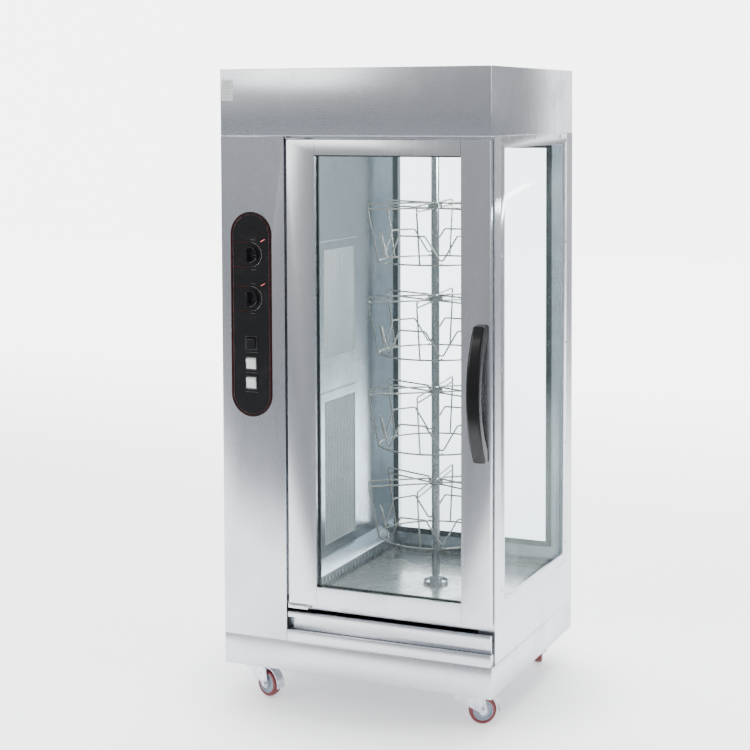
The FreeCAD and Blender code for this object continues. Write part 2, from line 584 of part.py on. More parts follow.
def makeGland():
    at = (f"{leftX} + pipeInset - glandOffset", f"{backY} + glandReach", f"{deckZ} + serviceRise")
    body = turned([("4", "0"), ("8", "0"), ("glandRadius", "4"), ("glandRadius", "12"), ("14", "12"),
                   ("14", "glandReach"), ("glandRadius - 0.2", "glandReach"),
                   ("glandRadius - 0.2", "glandReach + 8"), ("4", "glandReach + 8")])
    body.Placement = FreeCAD.Placement(FreeCAD.Vector(), FreeCAD.Rotation(FreeCAD.Vector(1, 0, 0), 90))
    finished(move(body, *at), "power_gland")


def makeLamp():
    x, y = f"{innerX} + lampX", f"{frontY} + lampY"
    under = f"{headZ} - skin"
    holder = turned([("0", "-lampTall"), ("lampRadius * 0.75", "-lampTall"), ("lampRadius * 0.75", "-4"),
                     ("lampRadius", "-4"), ("lampRadius", "0"), ("lampRadius * 0.55", "0"),
                     ("lampRadius * 0.55", "20"), ("0", "20")])
    finished(move(holder, x, y, under), "lamp_holder")
    glass = turned([("0", "-lampGlass - lampTall"), ("12", "-lampGlass - lampTall + 1.5"),
                    ("21", "-lampGlass - lampTall + 7"), ("lampRadius * 0.7", "-lampTall - 12"),
                    ("lampRadius * 0.7", "-lampTall"), ("0", "-lampTall")])
    finished(move(glass, x, y, under), "lamp_glass")


# ---- controls

def makeKnob(name):
    """A round skirt with a raised grip bar, and the valve stem behind it."""
    body = newBody("Knob")
    feature = body.newObject("PartDesign::Revolution", "Skirt")
    feature.Profile = sketchOn(body, "XZ", "0", [[
        ("0", "0"), ("knobRadius", "0"), ("knobRadius", "knobSkirt - 2"), ("knobRadius - 2", "knobSkirt"),
        ("0", "knobSkirt")]])
    feature.ReferenceAxis = (feature.Profile[0], ["V_Axis"])
    feature.Angle = 360
    half, long = "gripWide / 2", "gripTall / 2"
    grip = [(f"-({half})", f"-({long}) + {half}", half), (half, f"-({long}) + {half}"),
            (half, f"{long} - {half}", half), (f"-({half})", f"{long} - {half}")]
    pad(body, "XY", ("knobSkirt / 2", "knobReach"), [grip])
    pad(body, "XY", ("-stemLong", "1"), [], [("0", "0", "stemRadius")])
    body.Placement = FreeCAD.Placement(FreeCAD.Vector(), FreeCAD.Rotation(FreeCAD.Vector(1, 0, 0), 90))
    move(body, panelX, f"{frontY} - plateThick - knobGap", knobZ[name])
    finished(body, f"knob_{name}")


def makeSwitches():
    housings = []
    for name, z in rockerZ.items():
        outerX, outerZ = "(rockerWide / 2 + rockerGap + switchWall)", "(rockerRadius + rockerGap + switchWall)"
        face = f"{frontY} - plateThick"
        bezel = block((f"{panelX} - bezelWide / 2", f"{panelX} + bezelWide / 2"), (f"{face} - bezelProud", face),
                      (f"{z} - bezelTall / 2", f"{z} + bezelTall / 2"))
        box = block((f"{panelX} - {outerX}", f"{panelX} + {outerX}"), (face, f"{frontY} + switchDeep"),
                    (f"{z} - {outerZ}", f"{z} + {outerZ}"))
        well = block((f"{panelX} - {outerX} + switchWall", f"{panelX} + {outerX} - switchWall"),
                     (f"{face} - bezelProud - 1", f"{frontY} + switchDeep - switchWall"),
                     (f"{z} - {outerZ} + switchWall", f"{z} + {outerZ} - switchWall"))
        housings.append(cut(fuse(bezel, box), well))
        makeRocker(name, z)
    finished(group(housings), "switch_housings")


def makeRocker(name, z):
    """A rocker with a slightly dished face; its ends are arcs about the pivot, so it clears its well."""
    half = "(rockerWide / 2)"
    body = extruded("YZ", (f"-{half}", half), [[
        ("-rockerRadius * 0.65", "-rockerRadius * 0.76"), ("-rockerRadius * 0.52", "0"),
        ("-rockerRadius * 0.65", "rockerRadius * 0.76", "-(rockerRadius * 0.112)"),
        ("rockerBack", "rockerRadius * 0.968"), ("rockerBack + 5", "0"),
        ("rockerBack", "-rockerRadius * 0.968", "-(rockerRadius * 0.112)")]])
    body.Placement = FreeCAD.Placement(
        FreeCAD.Vector(), FreeCAD.Rotation(FreeCAD.Vector(1, 0, 0), sizes["rockerTilt"]))
    body.setExpression("Placement.Rotation.Angle", bound("rockerTilt"))
    move(body, panelX, f"{frontY} - plateThick - bezelProud + rockerRadius * 0.4", z)
    finished(body, f"rocker_{name}")


# ---- door

def makeDoor():
    x, z = doorX, doorZ
    front, back = frontY, f"({frontY} + doorThick)"
    window = ((f"{x[0]} + hingeStile", f"{x[1]} - latchStile"), (f"{z[0]} + bottomRail", f"{z[1]} - topRail"))
    body = ring("XZ", (front, back), x, z, ("hingeStile", "latchStile", "bottomRail", "topRail"))
    channel = [rectangle(*[(f"{span[0]} + skin", f"{span[1]} - skin") for span in (x, z)]),
               rectangle(*[(f"{span[0]} - skin", f"{span[1]} + skin") for span in window])]
    pocket(body, "XZ", (f"{front} + skin", f"{back} + 1"), channel)
    pocket(body, "XZ", (f"{front} + glassInset", f"{back} + 1"), [rectangle(
        *[(f"{span[0]} - skin - 0.5", f"{span[1]} + skin + 0.5") for span in window])])
    bushes, bores = [], []
    for low, start in ((f"{z[0]}", f"{z[0]}"), (f"{z[1]}", f"{z[1]} - bushTall")):
        bushes.append(rod("Z", (pivotX, pivotY, start), "bushRadius", "bushTall"))
        bores.append(rod("Z", (pivotX, pivotY, f"{start} - 1"), "pivotRadius + pivotFit", "bushTall + 2"))
    finished(cut(fuse(body, *bushes), *bores), "door_frame")
    cover = ring("XZ", (f"{back} - skin", back), [f"{x[0]} + skin", f"{x[1]} - skin"],
                 [f"{z[0]} + skin", f"{z[1]} - skin"],
                 ("(hingeStile - skin)", "(latchStile - skin)", "(bottomRail - skin)", "(topRail - skin)"))
    finished(cover, "door_back")
    paneX, paneZ = [(f"{span[0]} - glassLap", f"{span[1]} + glassLap") for span in window]
    paneY = (f"{front} + glassInset", f"{front} + glassInset + paneThick")
    finished(block(paneX, paneY, paneZ), "door_glass")
    border = ("(glassLap + gasketLip)",) * 4
    finished(ring("XZ", (paneY[1], f"{back} - skin"), paneX, paneZ, border), "door_gasket")


def makeHandle():
    """A bow handle: a crescent seen from the side, thick in the middle and standing on two feet."""
    low = f"({deckZ} + handleRise)"
    high = f"({low} + handleTall)"
    face = frontY
    outerBulge = "(handleReach - handleEnd)"
    innerBulge = "(handleInner - 8)"
    half = "(handleWide / 2)"
    body = extruded("YZ", (f"{doorX[1]} - handleInset - {half}", f"{doorX[1]} - handleInset + {half}"), [[
        (face, low), (face, f"{low} + handleFoot"),
        (f"{face} - 8", f"{low} + handleFoot + 10", f"-({innerBulge})"),
        (f"{face} - 8", f"{high} - handleFoot - 10"),
        (face, f"{high} - handleFoot"), (face, high), (f"{face} - handleEnd", f"{high} - 3", outerBulge),
        (f"{face} - handleEnd", f"{low} + 3")]])
    doc.recompute()
    bow = body.Tip
    free = [f"Edge{number}" for number, edge in enumerate(bow.Shape.Edges, start=1)
            if edge.BoundBox.YMin < amount(face) - 0.01]
    fillet = body.newObject("PartDesign::Fillet", "Fillet")
    fillet.Base = (bow, free)
    tie(fillet, {"Radius": "handleRound"})
    finished(body, "door_handle")


def makeHingeBrackets():
    """Angles on the mouth frame that carry the door's two pivot pins."""
    x = (f"{doorX[0]} - 4", f"{doorX[0]} - 4 + bracketWide")
    y = (f"{frontY} + 3", mouthY)
    brackets = []
    lowTop, highLow = f"({doorZ[0]} - pivotGap)", f"({doorZ[1]} + pivotGap)"
    shelf = block(x, y, (f"{lowTop} - bracketThick", lowTop))
    apron = block(x, (y[0], f"{y[0]} + bracketThick"), (f"{lowTop} - bracketApron", lowTop))
    foot = block(x, (f"{mouthY} - bracketThick", mouthY), (f"{lowTop} - bracketApron", lowTop))
    pin = rod("Z", (pivotX, pivotY, f"{lowTop} - bracketThick"), "pivotRadius",
              "bracketThick + pivotGap + bushTall * 0.8")
    heads = [rod("Y", (f"{x[0]} + {inset}", f"{y[0]} - 2", f"{lowTop} - bracketApron / 2"), "screwHead", "2.5")
             for inset in ("12", "bracketWide - 10")]
    brackets.append(fuse(shelf, apron, foot, pin, *heads))
    shelf = block(x, y, (highLow, f"{highLow} + bracketThick"))
    pin = rod("Z", (pivotX, pivotY, f"{highLow} - pivotGap - bushTall * 0.8"), "pivotRadius",
              "bracketThick + pivotGap + bushTall * 0.8")
    brackets.append(fuse(shelf, pin))
    finished(group(brackets), "hinge_brackets")


# ---- drip drawer and sill

def makeSill():
    x, z = (f"{innerX} + 0.5", f"{rightX} - 3"), (deckZ, f"{deckZ} + sillTall")
    band = extruded("YZ", x, [[
        (frontY, z[0]), (frontY, z[1]), (f"{frontY} + sillDeep", z[1]),
        (f"{frontY} + sillDeep", f"{z[1]} - skin"), (f"{frontY} + skin", f"{z[1]} - skin"),
        (f"{frontY} + skin", z[0])]])
    end = block((f"{x[1]} - skin", x[1]), (frontY, f"{frontY} + sillDeep - 1"), z)
    finished(fuse(band, end), "front_sill")


def makeDrawer():
    """The fat drawer: a front with a finger lip over a face that slopes back, and a pan behind."""
    low = f"({deckZ} + sillTall + drawerGap)"
    high = f"({low} + faceTall)"
    backFace = f"({frontY} + faceDeep)"
    lipX = (f"{innerX} + 4", f"{rightX} - 3.5")
    front = extruded("YZ", lipX, [[
        (frontY, f"{high} - lipTall"), (frontY, high), (backFace, high), (backFace, low),
        (f"{frontY} + faceSet", low)]])
    hollow = extruded("YZ", (f"{lipX[0]} + faceNotch + 2", f"{lipX[1]} - 2"), [[
        (f"{frontY} + skin", f"{high} - lipTall"), (f"{frontY} + skin", f"{high} - skin"),
        (f"{backFace} + 1", f"{high} - skin"), (f"{backFace} + 1", f"{high} - lipTall - 10")]])
    notch = block((f"{lipX[0]} - 1", f"{lipX[0]} + faceNotch"), (f"{frontY} - 1", f"{backFace} + 1"),
                  (f"{low} - 1", f"{high} - lipTall"))
    panX = (f"({innerX} + panSide)", f"({rightX} - panRight)")
    panY = (backFace, f"({backY} - panRear)")
    panZ = (f"({high} - panTall - 1)", f"({high} - 1)")
    pan = cut(block(panX, panY, panZ),
              block((f"{panX[0]} + skin", f"{panX[1]} - skin"), (f"{panY[0]} + skin", f"{panY[1]} - skin"),
                    (f"{panZ[0]} + skin", f"{panZ[1]} + 1")))
    finished(fuse(cut(front, hollow, notch), pan), "drip_drawer")
    makeRunners(panX, panY, panZ)


def makeRunners(panX, panY, panZ):
    """Two angles under the pan's long edges: one on the partition, one on a bracket from the deck."""
    y = (f"{mouthY} + 3 * skin", f"{panY[1]} + 20")
    shelf = (f"{panZ[0]} - runnerFit - skin", f"{panZ[0]} - runnerFit")
    left = fuse(block((innerX, f"{panX[0]} + runnerFlange"), y, shelf),
                block((innerX, f"{innerX} + skin"), y, (f"{shelf[0]}", f"{panZ[0]} + 20")))
    wallX = f"({panX[1]} + runnerFit)"
    right = fuse(block((f"{panX[1]} - runnerFlange", f"{wallX} + skin"), y, shelf),
                 block((wallX, f"{wallX} + skin"), y, (deckZ, f"{panZ[0]} + 20")))
    finished(group([left, right]), "drawer_runners")


# ---- rotor

def makeDrive():
    """The foot and ceiling bearings, the shaft, its coupling and the gear motor over the ceiling."""
    foot = turned([("0", "0"), ("footFlange", "0"), ("footFlange", "footPlate"), ("footBoss", "footPlate"),
                   ("footBoss", "footTall"), ("journalRadius + bearingFit", "footTall"),
                   ("journalRadius + bearingFit", "footTall - journalTall"), ("0", "footTall - journalTall")])
    move(foot, spinX, spinY, floorZ)
    under = f"{headZ} - skin"
    top = turned([("shaftRadius + bearingFit", "-topPlate"), ("topFlange", "-topPlate"), ("topFlange", "0"),
                  ("topBoss", "0"), ("topBoss", "topBossTall"), ("shaftRadius + bearingFit", "topBossTall")])
    move(top, spinX, spinY, under)
    finished(group([foot, top]), "shaft_bearings")
    shoulder = f"({floorZ} + footTall + thrustGap)"
    shaftTop = f"({headZ} + shaftAbove)"
    shaft = turned([("0", "thrustGap - journalTall"), ("journalRadius", "thrustGap - journalTall"),
                    ("journalRadius", "0.5"), ("shaftRadius", "0.5"), ("shaftRadius", f"{shaftTop} - {shoulder}"),
                    ("0", f"{shaftTop} - {shoulder}")])
    finished(move(shaft, spinX, spinY, shoulder), "rack_shaft")
    grip = "(couplingTall / 2)"
    coupling = turned([("0", grip), ("shaftRadius", grip), ("shaftRadius", "0"), ("couplingRadius", "0"),
                       ("couplingRadius", "couplingTall"), ("journalRadius", "couplingTall"),
                       ("journalRadius", "couplingTall + driveStub"), ("0", "couplingTall + driveStub")])
    finished(move(coupling, spinX, spinY, f"{shaftTop} - {grip}"), "shaft_coupling")
    gearLow = f"({shaftTop} + couplingTall / 2 + 3)"
    x = (f"{spinX} - gearWide / 2", f"{spinX} + gearWide / 2")
    y = (f"{spinY} - gearDeep / 2", f"{spinY} + gearDeep / 2")
    gearbox = block(x, y, (gearLow, f"{gearLow} + gearTall"))
    can = rod("X", (x[1], spinY, f"{gearLow} + gearTall / 2 + 3"), "motorRadius * 0.75", "motorLong")
    wings = block((f"{x[0]} - 30", f"{x[1]} + 30"), y, (gearLow, f"{gearLow} + 3"))
    legs = [block((f"{x[0]} - 30", f"{x[0]} - 27"), y, (headZ, gearLow)),
            block((f"{x[1]} + 27", f"{x[1]} + 30"), y, (headZ, gearLow))]
    bore = rod("Z", (spinX, spinY, f"{gearLow} - 1"), "journalRadius + bearingFit", "driveStub + 2")
    finished(cut(fuse(gearbox, can, wings, *legs), bore), "drive_motor")


def wire(points, radius, balls=slice(1, -1)):
    """A round wire through points, with a ball at each bend so that the runs join."""
    pieces = []
    for start, end in zip(points, points[1:]):
        run = end - start
        pieces.append(Part.makeCylinder(radius, run.Length, start, run))
    pieces += [Part.makeSphere(radius, point) for point in points[balls]]
    return pieces[0].multiFuse(pieces[1:]) if len(pieces) > 1 else pieces[0]


def around(radius, angle, height):
    spot = FreeCAD.Vector(radius, 0, height)
    return FreeCAD.Rotation(FreeCAD.Vector(0, 0, 1), angle).multVec(spot)


def rackPieces():
    """One tier about its hub's middle: hairpin arms, legs down to a hoop, and the zigzag crown on it."""
    radius, reach, rise = amount("wireRadius"), amount("armReach"), amount("armRise")
    hubTall, hubRadius = amount("hubTall"), amount("hubRadius")
    hoop, drop, crownTop = amount("hoopRadius"), amount("hoopDrop"), amount("crownDrop")
    hub = Part.makeCylinder(hubRadius, hubTall, FreeCAD.Vector(0, 0, -hubTall / 2))
    side = armAngles[0] + 30
    screw = Part.makeCylinder(3, 6, around(hubRadius - 1, side, 0), around(1, side, 0))
    bore = Part.makeCylinder(amount("shaftRadius"), hubTall + 2, FreeCAD.Vector(0, 0, -hubTall / 2 - 1))
    pieces = [hub.fuse(screw).cut(bore)]
    up = FreeCAD.Vector(0, 0, 1)
    for angle in armAngles:
        start = hubRadius - 0.1
        pieces.append(wire([around(start, angle, rise), around(reach, angle, rise), around(reach, angle, -rise),
                            around(start, angle, -rise)], radius))
        legTop = around(reach, angle, -rise - radius)
        pieces.append(wire([legTop, around(hoop + 2 * radius, angle, -drop)], radius))
    for step in range(6):
        low = crownPhase + 60 * step
        sector = Part.makeCylinder(2 * hoop, 2 * drop, FreeCAD.Vector(0, 0, -2 * drop), up, 60)
        sector.rotate(FreeCAD.Vector(), up, low)
        ends = [around(hoop, low + 30 + side * crownHalfFlat, -crownTop) for side in (-1, 1)]
        flat = wire(ends, radius, slice(None))
        pieces.append(flat)
        for foot, end in zip((low, low + 60), ends):
            riser = wire([around(hoop, foot, 2 * radius - drop), end], radius)
            pieces.append(riser.cut(flat).common(sector))
        for start in (low, low + 30):
            arc = Part.makeTorus(hoop, radius, FreeCAD.Vector(), up, -180, 180, 30)
            arc.rotate(FreeCAD.Vector(), up, start)
            arc.translate(FreeCAD.Vector(0, 0, -drop))
            pieces.append(arc)
    return pieces


def makeRacks():
    tier = Part.makeCompound(rackPieces())
    for step in range(4):
        rack = doc.addObject("Part::Feature", "Rack")
        rack.Shape = tier
        move(rack, spinX, spinY, f"{deckZ} + firstTier + {tierPitch} * {step}")
        finished(rack, f"bird_rack_{step + 1}")


# ---- casters

casterPlaces = {
    "front_left": (f"({leftX} + casterSide)", f"({frontY} + casterEnd)"),
    "front_right": (f"({rightX} - casterSide)", f"({frontY} + casterEnd)"),
    "rear_left": (f"({leftX} + casterSide)", f"({backY} - casterEnd)"),
    "rear_right": (f"({rightX} - casterSide)", f"({backY} - casterEnd)"),
}
raceLow = f"({baseZ} + baseRecess - casterPlateThick - raceTall)"
crownTop = f"({raceLow} - swivelGap)"


def makeCasterPlates():
    plates = []
    for x, y in casterPlaces.values():
        top = f"({baseZ} + baseRecess)"
        plate = block((f"{x} - casterPlateWide / 2", f"{x} + casterPlateWide / 2"),
                      (f"{y} - casterPlateWide / 2", f"{y} + casterPlateWide / 2"),
                      (f"{top} - casterPlateThick", top))
        race = rod("Z", (x, y, raceLow), "raceRadius", "raceTall")
        well = rod("Z", (x, y, f"{raceLow} - 1"), "kingRadius + kingFit", "raceTall")
        bolts = [rod("Z", (f"{x} + {i} * 33", f"{y} + {j} * 33", f"{top} - casterPlateThick - 3"), "6", "3.1")
                 for i in (-1, 1) for j in (-1, 1)]
        plates.append(cut(fuse(plate, race, *bolts), well))
    finished(group(plates), "caster_plates")


def turnedTo(item, name):
    """Stands a caster piece, built with its swivel axis at its own origin, at its corner of the plinth."""
    item.Placement = FreeCAD.Placement(
        FreeCAD.Vector(), FreeCAD.Rotation(FreeCAD.Vector(0, 0, 1), casterTurn[name]))
    return move(item, *casterPlaces[name])


def makeCaster(name, braked):
    inner = "(wheelWide / 2 + forkGap)"
    outer = f"({inner} + forkWall)"
    axle = ("casterTrail", "wheelRadius")
    crownLow = f"({crownTop} - crownPlate)"
    leg = [("-forkFront", crownTop), ("-forkFront", f"{crownTop} - 14"), ("casterTrail - 11", "wheelRadius - 3", "9"),
           ("casterTrail + 11", "wheelRadius - 3"), ("forkBack + 11", f"{crownTop} - 13"),
           ("forkBack + 11", crownTop)]
    body = newBody("Fork")
    pad(body, "XZ", (f"-{outer}", f"-{inner}"), [leg], [(*axle, "axleRadius - 2")])
    pad(body, "XZ", (inner, outer), [leg], [(*axle, "axleRadius - 2")])
    crown = rectangle(("-forkFront", "forkBack - 8"), (f"-{outer}", outer))
    pad(body, "XY", (crownLow, crownTop), [crown])
    pad(body, "XY", (f"{crownTop} - 1", f"{raceLow} + raceTall - 2.5"), [], [("0", "0", "kingRadius")])
    bolt = rod("Y", ("casterTrail", f"-{inner}", "wheelRadius"), "axleRadius", f"2 * {inner}")
    heads = [rod("Y", ("casterTrail", start, "wheelRadius"), "axleHead", "axleHeadTall")
             for start in (f"-{outer} - axleHeadTall", outer)]
    shank = rod("Y", ("casterTrail", f"-{outer}", "wheelRadius"), "axleRadius - 2", f"2 * {outer}")
    fork = fuse(body, bolt, shank, *heads)
    if braked:
        pinAt = ("casterTrail + pedalPinX", "2 * wheelRadius + pedalPinZ")
        hole = rod("Y", (pinAt[0], f"-{outer} - 1", pinAt[1]), "pedalPin + pedalFit", f"2 * {outer} + 2")
        fork = cut(fork, hole)
        makePedal(name, pinAt, outer)
    finished(turnedTo(fork, name), f"caster_fork_{name}")
    wheel = turned([
        ("axleRadius + axleFit", "-hubSide / 2 - hubDish"), ("11", "-hubSide / 2 - hubDish"),
        ("13", "-hubSide / 2 + 1"), ("24", "-hubSide / 2 + 1"), ("27", "-wheelWide / 2 + 1"),
        ("wheelRadius - 4", "-wheelWide / 2 + 1"), ("wheelRadius", "-wheelWide / 2 + 6"),
        ("wheelRadius", "wheelWide / 2 - 6"), ("wheelRadius - 4", "wheelWide / 2 - 1"),
        ("27", "wheelWide / 2 - 1"),
        ("24", "hubSide / 2 - 1"), ("13", "hubSide / 2 - 1"), ("11", "hubSide / 2 + hubDish"),
        ("axleRadius + axleFit", "hubSide / 2 + hubDish")])
    wheel.Placement = FreeCAD.Placement(FreeCAD.Vector(), FreeCAD.Rotation(FreeCAD.Vector(1, 0, 0), 90))
    move(wheel, "casterTrail", "0", "wheelRadius")
    stood = doc.addObject("Part::Compound", "Wheel")
    stood.Links = [wheel]
    finished(turnedTo(stood, name), f"caster_wheel_{name}")


def makePedal(name, pinAt, outer):
    """The brake pedal: a curved strip that follows the wheel, hung on a pin through the fork."""
    centre = FreeCAD.Vector(amount("casterTrail"), 0, amount("wheelRadius"))
    reach, thick, wide = amount("wheelRadius + pedalGap"), amount("pedalThick"), amount("pedalWide")
    turn = FreeCAD.Rotation(FreeCAD.Vector(1, 0, 0), 90)
    shell = Part.makeCylinder(reach, wide, centre + FreeCAD.Vector(0, wide / 2, 0), FreeCAD.Vector(0, -1, 0))
    shell = shell.cut(Part.makeCylinder(reach - thick, wide, centre + FreeCAD.Vector(0, wide / 2, 0),
                                        FreeCAD.Vector(0, -1, 0)))
    spread = [turn.multVec(around(3 * reach, angle, 0))
              for angle in (pedalStart, (pedalStart + pedalEnd) / 2, pedalEnd)]
    sector = Part.makePolygon([centre, *[centre + point for point in spread], centre])
    wedge = Part.Face(sector).extrude(FreeCAD.Vector(0, 2 * wide, 0))
    wedge.translate(FreeCAD.Vector(0, -wide, 0))
    strip = shell.common(wedge)
    pinSpot = FreeCAD.Vector(amount(pinAt[0]), 0, amount(pinAt[1]))
    side = amount(outer) + 2
    pin = Part.makeCylinder(amount("pedalPin"), 2 * side, pinSpot + FreeCAD.Vector(0, -side, 0),
                            FreeCAD.Vector(0, 1, 0))
    sleeve = Part.makeCylinder(amount("pedalPin") + 1.6, wide, pinSpot + FreeCAD.Vector(0, -wide / 2, 0),
                               FreeCAD.Vector(0, 1, 0))
    endSpot = centre + turn.multVec(around(reach - thick / 2, pedalEnd, 0))
    run = endSpot - pinSpot
    web = Part.makeBox(run.Length, wide, thick, FreeCAD.Vector(0, -wide / 2, -thick / 2))
    slope = FreeCAD.Rotation(FreeCAD.Vector(1, 0, 0), run)
    web.Placement = FreeCAD.Placement(pinSpot, slope).multiply(FreeCAD.Placement(web.Placement))
    pedal = doc.addObject("Part::Feature", "Pedal")
    pedal.Shape = strip.multiFuse([web, sleeve, pin]).removeSplitter()
    finished(turnedTo(pedal, name), f"brake_pedal_{name}")


# ---- the whole oven

makePlinth()
makeControlCover()
makeControlPlate()
makeServiceCasing()
makePartition()
makeMouthFrame()
makeCornerPosts()
makeSideWindow()
makeScrews()
makeRearWindow()
makeHood()
makeFloorAndCeiling()
makeDripTray()
makeAirStrip()
makeBurners()
makeGas()
makeGland()
makeLamp()
for knob in knobZ:
    makeKnob(knob)
makeSwitches()
makeDoor()
makeHandle()
makeHingeBrackets()
makeSill()
makeDrawer()
makeDrive()
makeRacks()
makeCasterPlates()
for corner in casterPlaces:
    makeCaster(corner, corner.startswith("front"))

doc.recompute()

failed = [item.Label for item in doc.Objects if "Invalid" in item.State or "Error" in item.State]
failed += [item.Label for item in parts if item.Shape.isNull() or not item.Shape.isValid()]
if failed:
    raise SystemExit(f"pieces that failed: {failed}")
os.makedirs("parts", exist_ok=True)
for item in parts:
    item.Shape.exportStep(f"parts/{item.Label}.step")
print(f"{len(parts)} pieces written")
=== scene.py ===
import json
import math
import bpy
import bmesh
from mathutils import Matrix, Vector


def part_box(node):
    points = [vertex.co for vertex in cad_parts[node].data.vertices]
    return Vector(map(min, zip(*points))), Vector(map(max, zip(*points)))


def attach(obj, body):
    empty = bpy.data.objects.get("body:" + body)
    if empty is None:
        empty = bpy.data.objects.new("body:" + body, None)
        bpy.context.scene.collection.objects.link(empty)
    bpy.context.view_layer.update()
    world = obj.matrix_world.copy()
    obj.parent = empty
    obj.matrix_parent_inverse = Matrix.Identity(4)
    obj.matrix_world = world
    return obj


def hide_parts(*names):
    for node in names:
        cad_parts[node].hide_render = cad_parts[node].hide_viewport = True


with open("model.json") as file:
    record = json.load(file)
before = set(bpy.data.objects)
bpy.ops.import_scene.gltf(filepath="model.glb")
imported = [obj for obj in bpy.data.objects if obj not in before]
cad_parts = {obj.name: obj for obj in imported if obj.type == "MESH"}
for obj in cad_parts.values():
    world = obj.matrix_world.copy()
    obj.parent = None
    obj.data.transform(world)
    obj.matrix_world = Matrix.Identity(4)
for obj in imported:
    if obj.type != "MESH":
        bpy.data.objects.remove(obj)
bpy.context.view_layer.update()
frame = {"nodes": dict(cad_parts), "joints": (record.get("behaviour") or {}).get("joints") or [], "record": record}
nodes = frame["nodes"]
joints = {joint["name"]: joint for joint in frame["joints"]}
print("frame loaded")


# ---- node graphs, for shaders and geometry alike

class Flow:
    """A socket that can be added, scaled and compared."""

    def __init__(self, graph, socket):
        self.graph = graph
        self.socket = socket

    def __add__(self, other):
        return self.graph.sum("ADD", self, other)

    def __sub__(self, other):
        return self.graph.sum("SUBTRACT", self, other)

    def __mul__(self, other):
        return self.graph.sum("MULTIPLY", self, other)

    def __truediv__(self, other):
        return self.graph.sum("DIVIDE", self, other)

    def __rsub__(self, other):
        return self.graph.sum("SUBTRACT", other, self)

    def __rtruediv__(self, other):
        return self.graph.sum("DIVIDE", other, self)

    def __neg__(self):
        return self * -1

    def __abs__(self):
        return self.graph.sum("ABSOLUTE", self)

    def __lt__(self, other):
        return self.graph.sum("LESS_THAN", self, other)

    def __gt__(self, other):
        return self.graph.sum("GREATER_THAN", self, other)

    __radd__ = __add__
    __rmul__ = __mul__


class Graph:
    def __init__(self, tree):
        self.tree = tree

    def make(self, kind, inputs=None, output=0, **settings):
        node = self.tree.nodes.new(kind)
        for name, value in settings.items():
            setattr(node, name, value)
        for key, value in (inputs or {}).items():
            if isinstance(value, Flow):
                self.tree.links.new(value.socket, node.inputs[key])
            else:
                node.inputs[key].default_value = value
        return Flow(self, node.outputs[output]) if len(node.outputs) else None

    def sum(self, operation, *values):
        return self.make("ShaderNodeMath", dict(enumerate(values)), operation=operation)

    def ramp(self, value, low, high, start=0.0, end=1.0):
        """Moves a value smoothly from start to end while it passes from low to high."""
        return self.make("ShaderNodeMapRange", {0: value, 1: low, 2: high, 3: start, 4: end},
                         interpolation_type="SMOOTHSTEP")

    def axes(self, vector):
        split = self.make("ShaderNodeSeparateXYZ", {0: vector})
        return [Flow(self, split.socket.node.outputs[axis]) for axis in "XYZ"]

    def stretched(self, vector, scale):
        return self.make("ShaderNodeVectorMath", {0: vector, 1: scale}, operation="MULTIPLY")

    def noise(self, vector, scale, detail=3.0, roughness=0.5):
        return self.make("ShaderNodeTexNoise", {
            "Vector": vector, "Scale": scale, "Detail": detail, "Roughness": roughness})

    def blend(self, amount, first, second):
        return self.make("ShaderNodeMix", {0: amount, 6: first, 7: second}, output=2, data_type="RGBA")

    def bump(self, height, strength, distance=0.001):
        return self.make("ShaderNodeBump", {"Height": height, "Strength": strength, "Distance": distance})


def colour(r, g, b):
    return (r, g, b, 1.0)


def material(name, build):
    """A principled surface; build(graph, place) returns what its sockets take."""
    made = bpy.data.materials.new(name)
    made.use_nodes = True
    made.node_tree.nodes.clear()
    graph = Graph(made.node_tree)
    place = graph.make("ShaderNodeTexCoord", output="Object")
    shader = graph.make("ShaderNodeBsdfPrincipled", build(graph, place))
    graph.make("ShaderNodeOutputMaterial", {"Surface": shader})
    return made


# ---- metals

def brushed(name, along, tone=(0.60, 0.62, 0.655), rough=0.3, extra=None):
    """Brushed stainless. along is the direction of the grain; smears and faint stains lie over it."""
    def build(graph, place):
        squash = [1.0 if axis == along else 90.0 for axis in "XYZ"]
        grain = graph.noise(graph.stretched(place, squash), 14.0, 4.0, 0.65)
        smear = graph.noise(place, 5.0, 5.0, 0.6)
        wipe = graph.noise(graph.stretched(place, (3.0, 3.0, 0.7)), 9.0, 2.0)
        stain = graph.ramp(smear, 0.52, 0.72)
        shade = graph.blend(stain * 0.35, colour(*tone), colour(*[part * 0.86 for part in tone]))
        groove = colour(*[part * 0.8 for part in tone])
        shade = graph.blend(graph.ramp(grain, 0.35, 0.7) * 0.25, shade, groove)
        height = grain
        if extra:
            line = extra(graph, place)
            shade = graph.blend(line, shade, colour(0.09, 0.09, 0.1))
            height = grain - line * 6
        return {"Base Color": shade, "Metallic": 1.0,
                "Roughness": grain * 0.12 + stain * 0.08 + wipe * 0.06 + (rough - 0.12),
                "Normal": graph.bump(height, 0.05, 0.0004), "Anisotropic": 0.35}
    return material(name, build)


def doorSeams(graph, place):
    """Fine butt-weld lines where the door's rails meet its stiles."""
    low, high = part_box("door_glass")
    lap = 0.012
    x, y, z = graph.axes(place)
    lines = 0
    for edge in (low.x + lap, high.x - lap):
        lines = (abs(x - edge) < 0.0006) + lines
    beyond = (z > (high.z - lap)) + (z < (low.z + lap))
    return lines * beyond * 0.75


